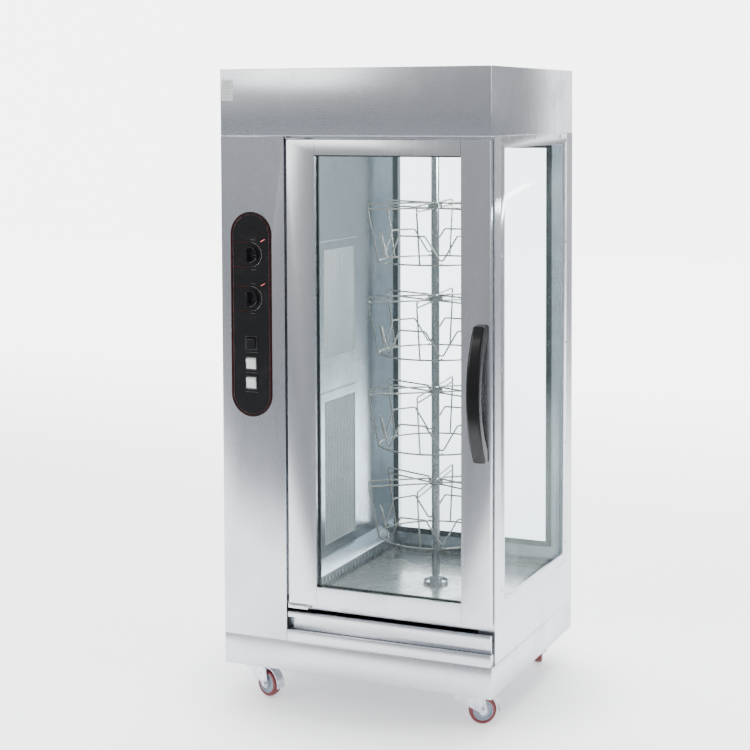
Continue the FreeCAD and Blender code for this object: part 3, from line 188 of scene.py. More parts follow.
def greasy(name, tone, dirt, amount, speck):
    """Cavity steel under baked-on fat: brown film, runs and specks."""
    def build(graph, place):
        film = graph.ramp(graph.noise(place, 7.0, 6.0, 0.62), 0.38, 0.68)
        drops = graph.make("ShaderNodeTexVoronoi", {"Vector": place, "Scale": 210.0}, feature="F1")
        spots = graph.ramp(drops, 0.24, 0.12) * graph.ramp(graph.noise(place, 18.0), 0.45, 0.6) * speck
        runs = graph.ramp(graph.noise(graph.stretched(place, (60.0, 60.0, 1.5)), 2.0), 0.55, 0.75)
        dirty = graph.sum("MINIMUM", film * amount + runs * amount * 0.4 + spots, 1.0)
        return {"Base Color": graph.blend(dirty, colour(*tone), colour(*dirt)),
                "Metallic": 1.0 - dirty * 0.55, "Roughness": dirty * 0.2 + 0.2,
                "Coat Weight": dirty * 0.6, "Coat Roughness": 0.12,
                "Normal": graph.bump(film + spots * 2.0, 0.25, 0.0006)}
    return material(name, build)


def plainMetal(name, tone, rough, fleck=60.0, wear=0.2):
    def build(graph, place):
        cloud = graph.noise(place, fleck, 4.0, 0.6)
        broad = graph.noise(place, fleck / 8, 3.0)
        dull = graph.ramp(cloud * 0.5 + broad * 0.5, 0.42, 0.62)
        dark = colour(*[part * 0.7 for part in tone])
        return {"Base Color": graph.blend(dull * wear * 2, colour(*tone), dark),
                "Metallic": 1.0, "Roughness": dull * wear + rough,
                "Normal": graph.bump(cloud, 0.08, 0.0004)}
    return material(name, build)


def plastic(name, tone, rough, dust=0.15, coat=0.0, shine=0.5, bumpSize=400.0):
    def build(graph, place):
        wear = graph.ramp(graph.noise(place, 35.0, 5.0, 0.65), 0.5, 0.75)
        pebble = graph.noise(place, bumpSize, 2.0)
        worn = [part * 0.85 + 0.015 for part in tone]
        return {"Base Color": graph.blend(wear * dust, colour(*tone), colour(*worn)),
                "Roughness": wear * 0.12 + rough, "Coat Weight": coat, "Coat Roughness": 0.08,
                "Specular IOR Level": shine, "Normal": graph.bump(pebble, 0.04, 0.0003)}
    return material(name, build)


# painted glow: an emissive finish for printed marks that are no lamp; noise spots glow paler
def glowing(name, tone, strength):
    def build(graph, place):
        centre = graph.noise(place, 160.0, 1.0)
        return {"Base Color": colour(*tone),
                "Emission Color": graph.blend(centre, colour(*tone), colour(1, 0.55, 0.5)),
                "Emission Strength": strength, "Roughness": 0.3}
    return material(name, build)


def clearGlass(name, tint, haze):
    """Mostly see-through, with a thin gloss and faint wiped smears."""
    made = bpy.data.materials.new(name)
    made.use_nodes = True
    made.node_tree.nodes.clear()
    graph = Graph(made.node_tree)
    place = graph.make("ShaderNodeTexCoord", output="Object")
    smear = graph.ramp(graph.noise(graph.stretched(place, (4.0, 4.0, 1.0)), 4.0, 4.0, 0.6), 0.5, 0.8)
    through = graph.make("ShaderNodeBsdfTransparent", {"Color": colour(*tint)})
    gloss = graph.make("ShaderNodeBsdfPrincipled", {
        "Base Color": colour(0.80, 0.90, 0.90), "Roughness": smear * 0.2 + 0.04, "Metallic": 1.0})
    mixed = graph.make("ShaderNodeMixShader", {0: smear * 0.04 + haze, 1: through, 2: gloss})
    graph.make("ShaderNodeOutputMaterial", {"Surface": mixed})
    return made


paints = {
    "steelAcross": brushed("steelAcross", "X"),
    "steelUp": brushed("steelUp", "Z"),
    "steelDeep": brushed("steelDeep", "Y"),
    "steelDoor": brushed("steelDoor", "Z", (0.62, 0.64, 0.67), 0.28, doorSeams),
    "cavity": greasy("cavity", (0.70, 0.76, 0.82), (0.24, 0.20, 0.16), 0.22, 0.3),
    "cavityFloor": greasy("cavityFloor", (0.50, 0.50, 0.50), (0.12, 0.10, 0.08), 0.8, 0.9),
    "zinc": plainMetal("zinc", (0.62, 0.65, 0.70), 0.24),
    "wire": plainMetal("wire", (0.30, 0.285, 0.265), 0.26, 90.0, 0.16),
    "shaftSteel": plainMetal("shaftSteel", (0.42, 0.42, 0.42), 0.2, 40.0, 0.12),
    "headSteel": plainMetal("headSteel", (0.55, 0.56, 0.58), 0.25, 90.0, 0.1),
    "meshSteel": plainMetal("meshSteel", (0.66, 0.68, 0.70), 0.42, 140.0, 0.15),
    "brass": plainMetal("brass", (0.72, 0.53, 0.25), 0.25),
    "copper": plainMetal("copper", (0.72, 0.40, 0.25), 0.28),
    "blackGloss": plastic("blackGloss", (0.006, 0.006, 0.007), 0.16, 0.15, 0.05, 0.3),
    "blackPanel": plastic("blackPanel", (0.006, 0.006, 0.007), 0.3, 0.3, 0.05, 0.3),
    "blackSoft": plastic("blackSoft", (0.018, 0.018, 0.018), 0.55, 0.3),
    "whiteGloss": plastic("whiteGloss", (0.82, 0.84, 0.83), 0.22, 0.2, 0.5),
    "ceramic": plastic("ceramic", (0.80, 0.80, 0.78), 0.75, 0.6),
    "tread": plastic("tread", (0.15, 0.014, 0.018), 0.4, 0.5, 0.1),
    "hubGrey": plastic("hubGrey", (0.27, 0.32, 0.40), 0.4, 0.6),
    "motorPaint": plastic("motorPaint", (0.05, 0.055, 0.06), 0.45, 0.4),
    "markWhite": plastic("markWhite", (0.86, 0.86, 0.84), 0.5, 0.2),
    "markRed": plastic("markRed", (0.55, 0.02, 0.025), 0.4, 0.3),
    "markPink": plastic("markPink", (0.62, 0.40, 0.40), 0.5, 0.3),
    "maroon": plastic("maroon", (0.16, 0.012, 0.016), 0.4, 0.3),
    "label": plastic("label", (0.85, 0.86, 0.86), 0.45, 0.3),
    "labelInk": plastic("labelInk", (0.12, 0.13, 0.15), 0.6, 0.3),
    "flameGlowPainted": glowing("flameGlowPainted", (0.9, 0.03, 0.04), 2.2),
    "glass": clearGlass("glass", (0.955, 0.985, 0.985), 0.045),
    "lampGlass": clearGlass("lampGlass", (0.93, 0.95, 0.93), 0.16),
}
print("materials made")

cadPaint = {
    "plinth": "steelAcross", "control_cover": "steelUp", "service_casing": "steelUp",
    "partition": "cavity", "mouth_frame": "cavity", "corner_posts": "steelUp", "side_frame": "steelUp",
    "side_apron": "steelDeep", "rear_frame": "cavity", "hood": "steelAcross", "ceiling_panel": "cavity",
    "cavity_floor": "cavityFloor", "drip_tray": "cavityFloor", "air_strip": "cavity",
    "front_sill": "steelAcross", "hinge_brackets": "steelAcross", "door_frame": "steelDoor",
    "door_back": "steelUp", "drip_drawer": "steelAcross", "caster_plates": "zinc",
    "drawer_runners": "zinc", "shaft_bearings": "zinc", "burner_housings": "zinc",
    "control_plate": "blackPanel", "side_glass": "glass", "rear_glass": "glass", "door_glass": "glass",
    "lamp_glass": "lampGlass", "panel_screws": "wire", "rack_shaft": "shaftSteel",
    "shaft_coupling": "shaftSteel", "rear_gasket": "blackSoft", "door_gasket": "blackSoft",
    "burner_meshes": "ceramic", "gas_valves": "brass", "gas_pipework": "copper",
    "power_gland": "blackSoft", "knob_upper": "blackGloss", "knob_lower": "blackGloss",
    "door_handle": "blackGloss", "switch_housings": "blackSoft", "rocker_power": "blackGloss",
    "rocker_rotate": "whiteGloss", "rocker_light": "whiteGloss", "lamp_holder": "ceramic",
    "drive_motor": "motorPaint", "caster_fork_front_left": "zinc", "caster_fork_front_right": "zinc",
    "caster_fork_rear_left": "zinc", "caster_fork_rear_right": "zinc", "brake_pedal_front_left": "zinc",
    "brake_pedal_front_right": "zinc", "bird_rack_1": "wire", "bird_rack_2": "wire",
    "bird_rack_3": "wire", "bird_rack_4": "wire", "caster_wheel_front_left": "tread",
    "caster_wheel_front_right": "tread", "caster_wheel_rear_left": "tread",
    "caster_wheel_rear_right": "tread",
}


def dress(item, *names):
    item.data.materials.clear()
    for name in names:
        item.data.materials.append(paints[name])


for name, item in nodes.items():
    dress(item, cadPaint[name])
slotOf = {row["node"]: row["material_slot"] for row in frame["record"]["subparts"]}
bodyOf = {name: body for body, names in frame["record"]["behaviour"]["bodies"].items() for name in names}


# ---- making pieces

def place(name, mesh, body, slot):
    """Puts a finished mesh in the scene as a piece that rides on a body."""
    item = bpy.data.objects.new(name, mesh)
    bpy.context.scene.collection.objects.link(item)
    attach(item, body)
    return item


def fromBmesh(shape):
    bmesh.ops.recalc_face_normals(shape, faces=shape.faces)
    mesh = bpy.data.meshes.new("Piece")
    shape.to_mesh(mesh)
    shape.free()
    return mesh


def smooth(item, angle=35.0):
    item.data.shade_smooth()
    item.data.set_sharp_from_angle(angle=math.radians(angle))
    return item


def softened(node, width, outerOnly=False):
    """Stands in for a CAD node with a copy whose sharp edges are rounded."""
    shape = bmesh.new()
    shape.from_mesh(nodes[node].data)
    bmesh.ops.remove_doubles(shape, verts=shape.verts, dist=1e-6)
    bmesh.ops.dissolve_limit(shape, angle_limit=0.01, verts=shape.verts, edges=shape.edges)
    low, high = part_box(node)
    edges = [edge for edge in shape.edges if len(edge.link_faces) == 2 and edge.calc_face_angle(0) > 0.6]
    if outerOnly:
        edges = [edge for edge in edges if onCorner(edge, low, high)]
    bmesh.ops.bevel(shape, geom=edges, offset=width, segments=2, profile=0.5, affect="EDGES",
                    clamp_overlap=not outerOnly)
    item = place(node + "_soft", fromBmesh(shape), bodyOf[node], slotOf[node])
    dress(item, cadPaint[node])
    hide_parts(node)
    return smooth(item)


def onCorner(edge, low, high):
    sides = 0
    for axis in range(3):
        for limit in (low[axis], high[axis]):
            sides += all(abs(vert.co[axis] - limit) < 1e-5 for vert in edge.verts)
    return sides > 1


def lathe(shape, outline, frameMatrix=Matrix(), steps=48, slot=0):
    """Adds a solid of revolution about +Z; the outline is a closed run of (radius, height)."""
    rings = []
    for radius, height in outline:
        if radius < 1e-7:
            rings.append([shape.verts.new(frameMatrix @ Vector((0, 0, height)))])
            continue
        turn = [2 * math.pi * step / steps for step in range(steps)]
        ring = [Vector((radius * math.cos(a), radius * math.sin(a), height)) for a in turn]
        rings.append([shape.verts.new(frameMatrix @ spot) for spot in ring])
    for below, above in zip(rings, rings[1:] + rings[:1]):
        for step in range(steps):
            after = (step + 1) % steps
            quad = [below[step % len(below)], below[after % len(below)], above[after % len(above)],
                    above[step % len(above)]]
            corners = list(dict.fromkeys(quad))
            if len(corners) > 2:
                shape.faces.new(corners).material_index = slot


def facing(spot, direction):
    """A frame at a spot whose +Z points along a direction."""
    return Matrix.Translation(spot) @ Vector(direction).to_track_quat("Z", "Y").to_matrix().to_4x4()


def slab(shape, low, high, slot=0):
    corners = [shape.verts.new((x, y, z)) for x in (low[0], high[0]) for y in (low[1], high[1])
               for z in (low[2], high[2])]
    for side in ((0, 1, 3, 2), (4, 6, 7, 5), (0, 4, 5, 1), (2, 3, 7, 6), (0, 2, 6, 4), (1, 5, 7, 3)):
        shape.faces.new([corners[index] for index in side]).material_index = slot


# ---- geometry node groups

def nodeGroup(name, sockets):
    """A geometry group with named inputs; returns the tree, its graph and the inputs by name."""
    tree = bpy.data.node_groups.new(name, "GeometryNodeTree")
    tree.interface.new_socket("Geometry", in_out="INPUT", socket_type="NodeSocketGeometry")
    for label, kind in sockets.items():
        tree.interface.new_socket(label, in_out="INPUT", socket_type="NodeSocket" + kind)
    tree.interface.new_socket("Geometry", in_out="OUTPUT", socket_type="NodeSocketGeometry")
    graph = Graph(tree)
    entry = tree.nodes.new("NodeGroupInput")
    return tree, graph, {socket.name: Flow(graph, socket) for socket in entry.outputs if socket.name}


def closeGroup(graph, shape, paint):
    solid = graph.make("GeometryNodeRealizeInstances", {0: shape})
    painted = graph.make("GeometryNodeSetMaterial", {"Geometry": solid, "Material": paint})
    graph.make("NodeGroupOutput", {0: painted})


def grown(name, source, tree, values, body, slot):
    """Runs a geometry group over some data and keeps the result as a plain mesh."""
    seed = bpy.data.objects.new(name + "Seed", source)
    bpy.context.scene.collection.objects.link(seed)
    modifier = seed.modifiers.new("Grow", "NODES")
    modifier.node_group = tree
    for entry in tree.interface.items_tree:
        if entry.in_out == "INPUT" and entry.name in values:
            modifier[entry.identifier] = values[entry.name]
    graph = bpy.context.evaluated_depsgraph_get()
    mesh = bpy.data.meshes.new_from_object(seed.evaluated_get(graph), depsgraph=graph)
    seed.modifiers.clear()
    bpy.data.objects.remove(seed)
    return place(name, mesh, body, slot)


def polyline(runs):
    """A curve of straight runs. Each run is a list of points; a closed one repeats its first point."""
    curve = bpy.data.curves.new("Runs", "CURVE")
    curve.dimensions = "3D"
    for run in runs:
        closed = (Vector(run[0]) - Vector(run[-1])).length < 1e-6
        points = run[:-1] if closed else run
        spline = curve.splines.new("POLY")
        spline.points.add(len(points) - 1)
        for spot, point in zip(spline.points, points):
            spot.co = (*point, 1.0)
        spline.use_cyclic_u = closed
    return curve


def sweepGroup():
    """Sweeps a round or flat section along curves, after rounding their corners."""
    tree, graph, given = nodeGroup("Sweep", {
        "Radius": "Float", "Bend": "Float", "Flatness": "Float", "Material": "Material"})
    bent = graph.make("GeometryNodeFilletCurve", {
        "Curve": given["Geometry"], "Count": 5, "Radius": given["Bend"], "Limit Radius": True}, mode="POLY")
    section = graph.make("GeometryNodeCurvePrimitiveCircle", {"Resolution": 10, "Radius": given["Radius"]})
    scale = graph.make("ShaderNodeCombineXYZ", {0: 1.0, 1: given["Flatness"], 2: 1.0})
    section = graph.make("GeometryNodeTransform", {"Geometry": section, "Scale": scale})
    swept = graph.make("GeometryNodeCurveToMesh", {
        "Curve": bent, "Profile Curve": section, "Fill Caps": True})
    closeGroup(graph, swept, given["Material"])
    return tree


def tiersGroup():
    """Sweeps the wires of one tier and repeats them up the shaft."""
    tree, graph, given = nodeGroup("Tiers", {
        "Radius": "Float", "Bend": "Float", "Tiers": "Int", "Pitch": "Float", "Material": "Material"})
    bent = graph.make("GeometryNodeFilletCurve", {
        "Curve": given["Geometry"], "Count": 6, "Radius": given["Bend"], "Limit Radius": True}, mode="POLY")
    section = graph.make("GeometryNodeCurvePrimitiveCircle", {"Resolution": 12, "Radius": given["Radius"]})
    swept = graph.make("GeometryNodeCurveToMesh", {
        "Curve": bent, "Profile Curve": section, "Fill Caps": True})
    rise = graph.make("ShaderNodeCombineXYZ", {2: given["Pitch"]})
    levels = graph.make("GeometryNodeMeshLine", {"Count": given["Tiers"], "Offset": rise}, mode="OFFSET")
    tiers = graph.make("GeometryNodeInstanceOnPoints", {"Points": levels, "Instance": swept})
    closeGroup(graph, tiers, given["Material"])
    return tree


def weaveGroup():
    """A plain weave in the YZ plane: wavy wires both ways, each half a wave out of step with the next."""
    tree, graph, given = nodeGroup("Weave", {
        "Wide": "Float", "Tall": "Float", "Pitch": "Float", "Radius": "Float", "Material": "Material"})
    section = graph.make("GeometryNodeCurvePrimitiveCircle", {"Resolution": 3, "Radius": given["Radius"]})
    layers = []
    for long, across, flip in (("Wide", "Tall", 0.0), ("Tall", "Wide", 1.0)):
        count = given[across] / given["Pitch"]
        steps = given[long] / given["Pitch"] * 2 + 1
        cells = graph.make("GeometryNodeMeshGrid", {
            "Size X": given[long], "Size Y": given[across], "Vertices X": steps, "Vertices Y": count})
        lane = graph.make("GeometryNodeInputPosition")
        x, y, z = graph.axes(lane)
        beat = (x / given["Pitch"] + y / given["Pitch"] + flip) * math.pi
        lift = graph.sum("SINE", beat) * given["Radius"]
        turned = {0: lift, 1: x, 2: y} if long == "Wide" else {0: lift, 1: y, 2: x}
        moved = graph.make("GeometryNodeSetPosition", {
            "Geometry": cells, "Position": graph.make("ShaderNodeCombineXYZ", turned)})
        # only the edges that run along the wires are kept
        row = graph.make("GeometryNodeInputMeshEdgeVertices", output="Position 1")
        other = Flow(graph, row.socket.node.outputs["Position 2"])
        keep = graph.axes(row)[2 if long == "Wide" else 1] - graph.axes(other)[2 if long == "Wide" else 1]
        wires = graph.make("GeometryNodeMeshToCurve", {"Mesh": moved, "Selection": abs(keep) < 1e-5})
        layers.append(graph.make("GeometryNodeCurveToMesh", {"Curve": wires, "Profile Curve": section}))
    joined = graph.make("GeometryNodeJoinGeometry")
    for layer in layers:
        graph.tree.links.new(layer.socket, joined.socket.node.inputs[0])
    closeGroup(graph, joined, given["Material"])
    return tree


def scatterGroup():
    """Copies a small shape onto every point of the input, turned to the point's own direction."""
    tree, graph, given = nodeGroup("Scatter", {"Shape": "Object", "Material": "Material"})
    shape = graph.make("GeometryNodeObjectInfo", {
        "Object": given["Shape"], "As Instance": True}, output="Geometry")
    aim = graph.make("GeometryNodeInputNamedAttribute", {"Name": "aim"}, data_type="FLOAT_VECTOR")
    turn = graph.make("FunctionNodeAlignRotationToVector", {"Vector": aim}, axis="Z")
    copies = graph.make("GeometryNodeInstanceOnPoints", {
        "Points": given["Geometry"], "Instance": shape, "Rotation": turn})
    closeGroup(graph, copies, given["Material"])
    return tree


sweep, tiers, weave, scatter = sweepGroup(), tiersGroup(), weaveGroup(), scatterGroup()
print("node groups made")


def strokes(name, runs, paint, body, slot, width, thick=0.0002, bend=0.0):
    """Thin printed lines: flat ribbons along runs."""
    item = grown(name, polyline(runs), sweep, {
        "Radius": width / 2, "Bend": bend, "Flatness": thick / width, "Material": paints[paint]}, body, slot)
    return smooth(item, 60)


def scattered(name, shapeMesh, spots, paint, body, slot):
    """spots are (place, direction) pairs."""
    cloud = bpy.data.meshes.new("Spots")
    cloud.from_pydata([tuple(spot) for spot, aim in spots], [], [])
    aims = cloud.attributes.new("aim", "FLOAT_VECTOR", "POINT")
    for entry, (spot, aim) in zip(aims.data, spots):
        entry.vector = aim
    pattern = bpy.data.objects.new("Pattern", shapeMesh)
    item = grown(name, cloud, scatter, {"Shape": pattern, "Material": paints[paint]}, body, slot)
    bpy.data.objects.remove(pattern)
    return smooth(item)


# ---- cabinet edges

for node in ("plinth", "hood"):
    softened(node, 0.0022, outerOnly=True)
for node in ("front_sill", "door_frame", "control_cover"):
    softened(node, 0.0014, outerOnly=True)
for node in ("side_frame", "drip_drawer", "hinge_brackets", "knob_upper", "knob_lower", "rocker_power",
             "rocker_rotate", "rocker_light", "switch_housings"):
    softened(node, 0.0007)
print("edges softened")


# ---- screws

screw = {"radius": 0.0042, "dome": 0.0013, "pit": 0.0016, "pitDeep": 0.0008, "sideX": 0.4}


def screwMesh(size):
    shape = bmesh.new()
    r, t = size["radius"], size["dome"]
    lathe(shape, [(0, t - size["pitDeep"]), (size["pit"], t - size["pitDeep"]), (size["pit"], t * 0.97),
                  (r * 0.55, t * 0.9), (r * 0.85, t * 0.6), (r, t * 0.2), (r, -0.0004), (0, -0.0004)],
          steps=24)
    return fromBmesh(shape)


def islands(mesh):
    """The middle of every separate lump of a mesh."""
    shape = bmesh.new()
    shape.from_mesh(mesh)
    bmesh.ops.remove_doubles(shape, verts=shape.verts, dist=1e-6)
    left, middles = set(shape.verts), []
    while left:
        lump, edge = set(), [left.pop()]
        while edge:
            vert = edge.pop()
            lump.add(vert)
            fresh = [link.other_vert(vert) for link in vert.link_edges if link.other_vert(vert) in left]
            left.difference_update(fresh)
            edge.extend(fresh)
        middles.append(sum((vert.co for vert in lump), Vector()) / len(lump))
    shape.free()
    return middles


spots = []
for middle in islands(nodes["panel_screws"].data):
    side = 1 if middle.x > 0 else -1
    spots.append((Vector((side * screw["sideX"], middle.y, middle.z)), (side, 0, 0)))
screws = scattered("panel_screw_heads", screwMesh(screw), spots, "headSteel", "cabinet", "polished_steel")
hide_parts("panel_screws")
print("screws placed")


# ---- bird racks

racks = [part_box(f"bird_rack_{step}") for step in range(1, 5)]
rack = {"radius": 0.0024, "bend": 0.008, "pitch": racks[1][1].z - racks[0][1].z, "hubRadius": 0.021,
        "hubTall": 0.02, "firstArm": -83, "firstLow": -62, "halfFlat": 14, "reach": 0.198, "rise": 0.008,
        "hoop": 0.163, "drop": 0.158, "crown": 0.078, "bore": 0.012, "screwAt": (-53, 127), "bead": 0.0031}
spin = Vector(joints["rotor_spin"]["pos_m"])


def around(radius, angle, z):
    turn = math.radians(angle)
    return Vector((spin.x + radius * math.cos(turn), spin.y + radius * math.sin(turn), z))


def rackWires(size, hubZ):
    """The centre lines of one tier's wires: six hairpins, six legs, the hoop and the crown."""
    reach, rise, hoop, drop, crown = (size[key] for key in ("reach", "rise", "hoop", "drop", "crown"))
    r, flat = size["radius"], size["halfFlat"]
    runs = []
    for step in range(6):
        angle = size["firstArm"] + 60 * step
        start = size["hubRadius"] - 0.002
        runs.append([around(start, angle, hubZ + rise), around(reach, angle, hubZ + rise),
                     around(reach, angle, hubZ - rise), around(start, angle, hubZ - rise)])
        runs.append([around(reach, angle, hubZ - rise - r), around(hoop + 2 * r, angle, hubZ - drop)])
    ring = [around(hoop, 5 * step, hubZ - drop) for step in range(72)]
    runs.append(ring + ring[:1])
    zigzag = []
    for step in range(6):
        low = size["firstLow"] + 60 * step
        zigzag += [around(hoop, low, hubZ - drop + 2 * r), around(hoop, low + 30 - flat, hubZ - crown),
                   around(hoop, low + 30 + flat, hubZ - crown)]
    runs.append(zigzag + zigzag[:1])
    return runs


firstHub = racks[0][1].z - rack["rise"] - rack["radius"]
wires = grown("rack_wires", polyline(rackWires(rack, firstHub)), tiers, {
    "Radius": rack["radius"], "Bend": rack["bend"], "Tiers": 4, "Pitch": rack["pitch"],
    "Material": paints["wire"]}, "rotor", "polished_steel")
smooth(wires)
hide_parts("bird_rack_1", "bird_rack_2", "bird_rack_3", "bird_rack_4")


def rackHubs(size):
    shape = bmesh.new()
    r, half, bore = size["hubRadius"], size["hubTall"] / 2, size["bore"]
    for step in range(4):
        z = firstHub + size["pitch"] * step
        at = Matrix.Translation((spin.x, spin.y, z))
        lathe(shape, [(bore, half), (r - 0.001, half), (r, half - 0.001), (r, 0.001 - half),
                      (r - 0.001, -half), (bore, -half)], at)
        for angle in size["screwAt"]:
            aim = around(1, angle, z) - around(0, angle, z)
            lathe(shape, [(0, 0.004), (0.0016, 0.004), (0.0016, 0.006), (0.003, 0.006), (0.0034, 0.0055),
                          (0.0034, -0.001), (0, -0.001)], facing(around(r, angle, z), aim), 16)
    return fromBmesh(shape)


hubs = place("rack_hubs", rackHubs(rack), "rotor", "polished_steel")
dress(hubs, "shaftSteel")
smooth(hubs)

bead = bpy.data.meshes.new("Bead")
beadShape = bmesh.new()
bmesh.ops.create_icosphere(beadShape, subdivisions=2, radius=rack["bead"])
beadShape.to_mesh(bead)
beadShape.free()
beads, up = [], (0, 0, 1)
for step in range(4):
    z = firstHub + rack["pitch"] * step
    for turn in range(6):
        arm, low = rack["firstArm"] + 60 * turn, rack["firstLow"] + 60 * turn
        hoop, wire, foot = rack["hoop"], rack["radius"], z - rack["drop"]
        beads += [(around(hoop + wire, arm, foot), up), (around(hoop, low, foot + wire), up),
                  (around(rack["hubRadius"], arm, z + rack["rise"]), up),
                  (around(rack["hubRadius"], arm, z - rack["rise"]), up)]
scattered("rack_weld_beads", bead, beads, "wire", "rotor", "polished_steel")
print("racks made")


# ---- burner weave

weaveSize = {"pitch": 0.005, "radius": 0.0006, "standOff": 0.0032, "rim": 0.012, "low": 0.4416,
             "high": 0.3379}
low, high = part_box("burner_meshes")
rim = weaveSize["rim"]
burnerY = (low.y + rim, high.y - rim)
windows = {"lower": (low.z + rim, low.z + rim + weaveSize["low"]),
           "upper": (high.z - rim - weaveSize["high"], high.z - rim)}
for name, (bottom, top) in windows.items():
    cloth = grown(f"burner_weave_{name}", bpy.data.meshes.new("Empty"), weave, {
        "Wide": burnerY[1] - burnerY[0] - 2 * rim, "Tall": top - bottom - 2 * rim,
        "Pitch": weaveSize["pitch"], "Radius": weaveSize["radius"], "Material": paints["meshSteel"]},
        "cabinet", "burner_steel")
    offset = Vector((low.x + weaveSize["standOff"], sum(burnerY) / 2, (bottom + top) / 2))
    cloth.data.transform(Matrix.Translation(offset))
    smooth(cloth)
    border = bmesh.new()
    for y0, y1, z0, z1 in ((burnerY[0] - rim, burnerY[0] + rim, bottom - rim, top + rim),
                           (burnerY[1] - rim, burnerY[1] + rim, bottom - rim, top + rim),
                           (burnerY[0] + rim, burnerY[1] - rim, top - rim, top + rim),
                           (burnerY[0] + rim, burnerY[1] - rim, bottom - rim, bottom + rim)):
        slab(border, (high.x, y0, z0), (high.x + 0.0006, y1, z1))
    trim = place(f"burner_trim_{name}", fromBmesh(border), "cabinet", "burner_steel")
    dress(trim, "cavity")
print("burner weave made")


# ---- control plate

plateLow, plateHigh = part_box("control_plate")
plateY = plateLow.y - 0.0001
inkY = plateY - 0.0001
panelX = (plateLow.x + plateHigh.x) / 2
knob = {"skirt": 0.0089, "from": 0.0120, "to": 0.0195}
border = {"inset": 0.0035, "wide": 0.006, "fineInset": 0.0078, "fineWide": 0.0011}


def stadium(inset, y):
    """The plate's outline, drawn in by an inset."""
    radius = (plateHigh.x - plateLow.x) / 2 - inset
    points = []
    for centreZ, start in ((plateHigh.z - inset - radius, 0), (plateLow.z + inset + radius, 180)):
        for step in range(25):
            angle = math.radians(start + step * 7.5)
            points.append((panelX + radius * math.cos(angle), y, centreZ + radius * math.sin(angle)))
    return points + points[:1]


strokes("plate_border", [stadium(border["inset"], plateY)], "maroon", "cabinet", "black_panel",
        border["wide"])
strokes("plate_fine_line", [stadium(border["fineInset"], inkY)], "markPink", "cabinet", "black_panel",
        border["fineWide"])

# scale["lamp"] places the printed red flame mark above and right of each knob; the mark is painted to glow and is
# no lamp
scale = {"radius": 0.034, "wide": 0.0016, "left": 0.010, "mark": (0.0075, 0.0135), "lamp": (0.038, 0.040)}
arcs, guides, marks, flameMarks = [], [], [], []
for name in ("upper", "lower"):
    knobLow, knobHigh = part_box(f"knob_{name}")
    x, z = (knobLow.x + knobHigh.x) / 2, (knobLow.z + knobHigh.z) / 2
    r = scale["radius"]
    arcs.append([(x + r * math.cos(math.radians(a)), inkY, z + r * math.sin(math.radians(a)))
                 for a in range(-90, 91, 5)])
    for side in (-1, 1):
        edge = z + side * r
        guides.append([(plateLow.x + scale["left"], inkY, edge), (x - 0.004, inkY, edge)])
        middle, half = z + side * (r + 0.0075), scale["mark"][1] / 2
        markX = x + scale["mark"][0]
        marks.append([(markX - half, inkY, middle), (markX + half, inkY, middle)])
    # the printed red flame mark, painted to glow
    flameX, flameZ = x + scale["lamp"][0], z + scale["lamp"][1]
    flameY = plateY - 0.0004
    flameMarks.append([(flameX - 0.006, flameY, flameZ - 0.0035), (flameX + 0.006, flameY, flameZ + 0.0035)])
strokes("knob_scales", arcs, "markWhite", "cabinet", "black_panel", scale["wide"])
strokes("knob_guides", guides, "markRed", "cabinet", "black_panel", 0.0024)
strokes("plate_ticks", marks, "markWhite", "cabinet", "black_panel", 0.0032)
# heat_marks: printed red flame marks with painted glow
strokes("heat_marks", flameMarks, "flameGlowPainted", "cabinet", "black_panel", 0.008, 0.0006)

captions = []
for name in ("power", "rotate", "light"):
    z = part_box(f"rocker_{name}")[0].z - 0.0095
    for start, end in ((-0.019, -0.006), (-0.003, 0.019)):
        captions.append([(panelX + start, inkY, z), (panelX + end, inkY, z)])
strokes("plate_captions", captions, "markWhite", "cabinet", "black_panel", 0.0018)
titleZ = plateHigh.z - 0.047
title = [[(panelX + start, inkY, titleZ), (panelX + end, inkY, titleZ)]
         for start, end in ((-0.030, -0.004), (0.002, 0.030))]
strokes("plate_title", title, "maroon", "cabinet", "black_panel", 0.004)

for name in ("upper", "lower"):
    knobLow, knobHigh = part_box(f"knob_{name}")
    x, z = (knobLow.x + knobHigh.x) / 2, (knobLow.z + knobHigh.z) / 2
    skirtY = plateLow.y - knob["skirt"]
    strokes(f"knob_pointer_{name}", [[(x + knob["from"], skirtY, z), (x + knob["to"], skirtY, z)]],
            "markWhite", f"knob_{name}", "black_plastic", 0.0018)
print("control plate marked")


# ---- hood label

label = bmesh.new()
hoodLow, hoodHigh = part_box("hood")
slab(label, (hoodLow.x + 0.005, hoodLow.y - 0.0004, hoodLow.z + 0.098),
     (hoodLow.x + 0.040, hoodLow.y, hoodLow.z + 0.156))
item = place("rating_label", fromBmesh(label), "cabinet", "white_plastic")
dress(item, "label")
rows = []
for step, wide in enumerate((0.024, 0.018, 0.026, 0.022, 0.026, 0.015)):
    z = hoodLow.z + 0.149 - step * 0.0085
    lineX, lineY = hoodLow.x + 0.010, hoodLow.y - 0.0006
    rows.append([(lineX, lineY, z), (lineX + wide, lineY, z)])
strokes("label_lines", rows, "labelInk", "cabinet", "white_plastic", 0.0012)
print("label made")


# ---- casters

wheel = {"radius": 0.0375, "half": 0.012, "bore": 0.0061, "hubHalf": 0.0143}


def wheelTread(size, at):
    shape = bmesh.new()
    r, h = size["radius"], size["half"]
    lathe(shape, [(0.0275, -h), (r - 0.004, -h), (r - 0.0012, -h + 0.0022), (r, -h + 0.006), (r, h - 0.006),
                  (r - 0.0012, h - 0.0022), (r - 0.004, h), (0.0275, h)], at, 64)
    return fromBmesh(shape)


def wheelHub(size, at):
    shape = bmesh.new()
    h = size["half"]
    side = [(size["bore"], size["hubHalf"]), (0.010, size["hubHalf"]), (0.0115, size["hubHalf"] - 0.0015),
            (0.013, 0.0075), (0.0225, 0.0075), (0.0245, h - 0.0012), (0.0275, h - 0.0008)]
    lathe(shape, side + [(r, -z) for r, z in reversed(side)], at, 64)
    return fromBmesh(shape)


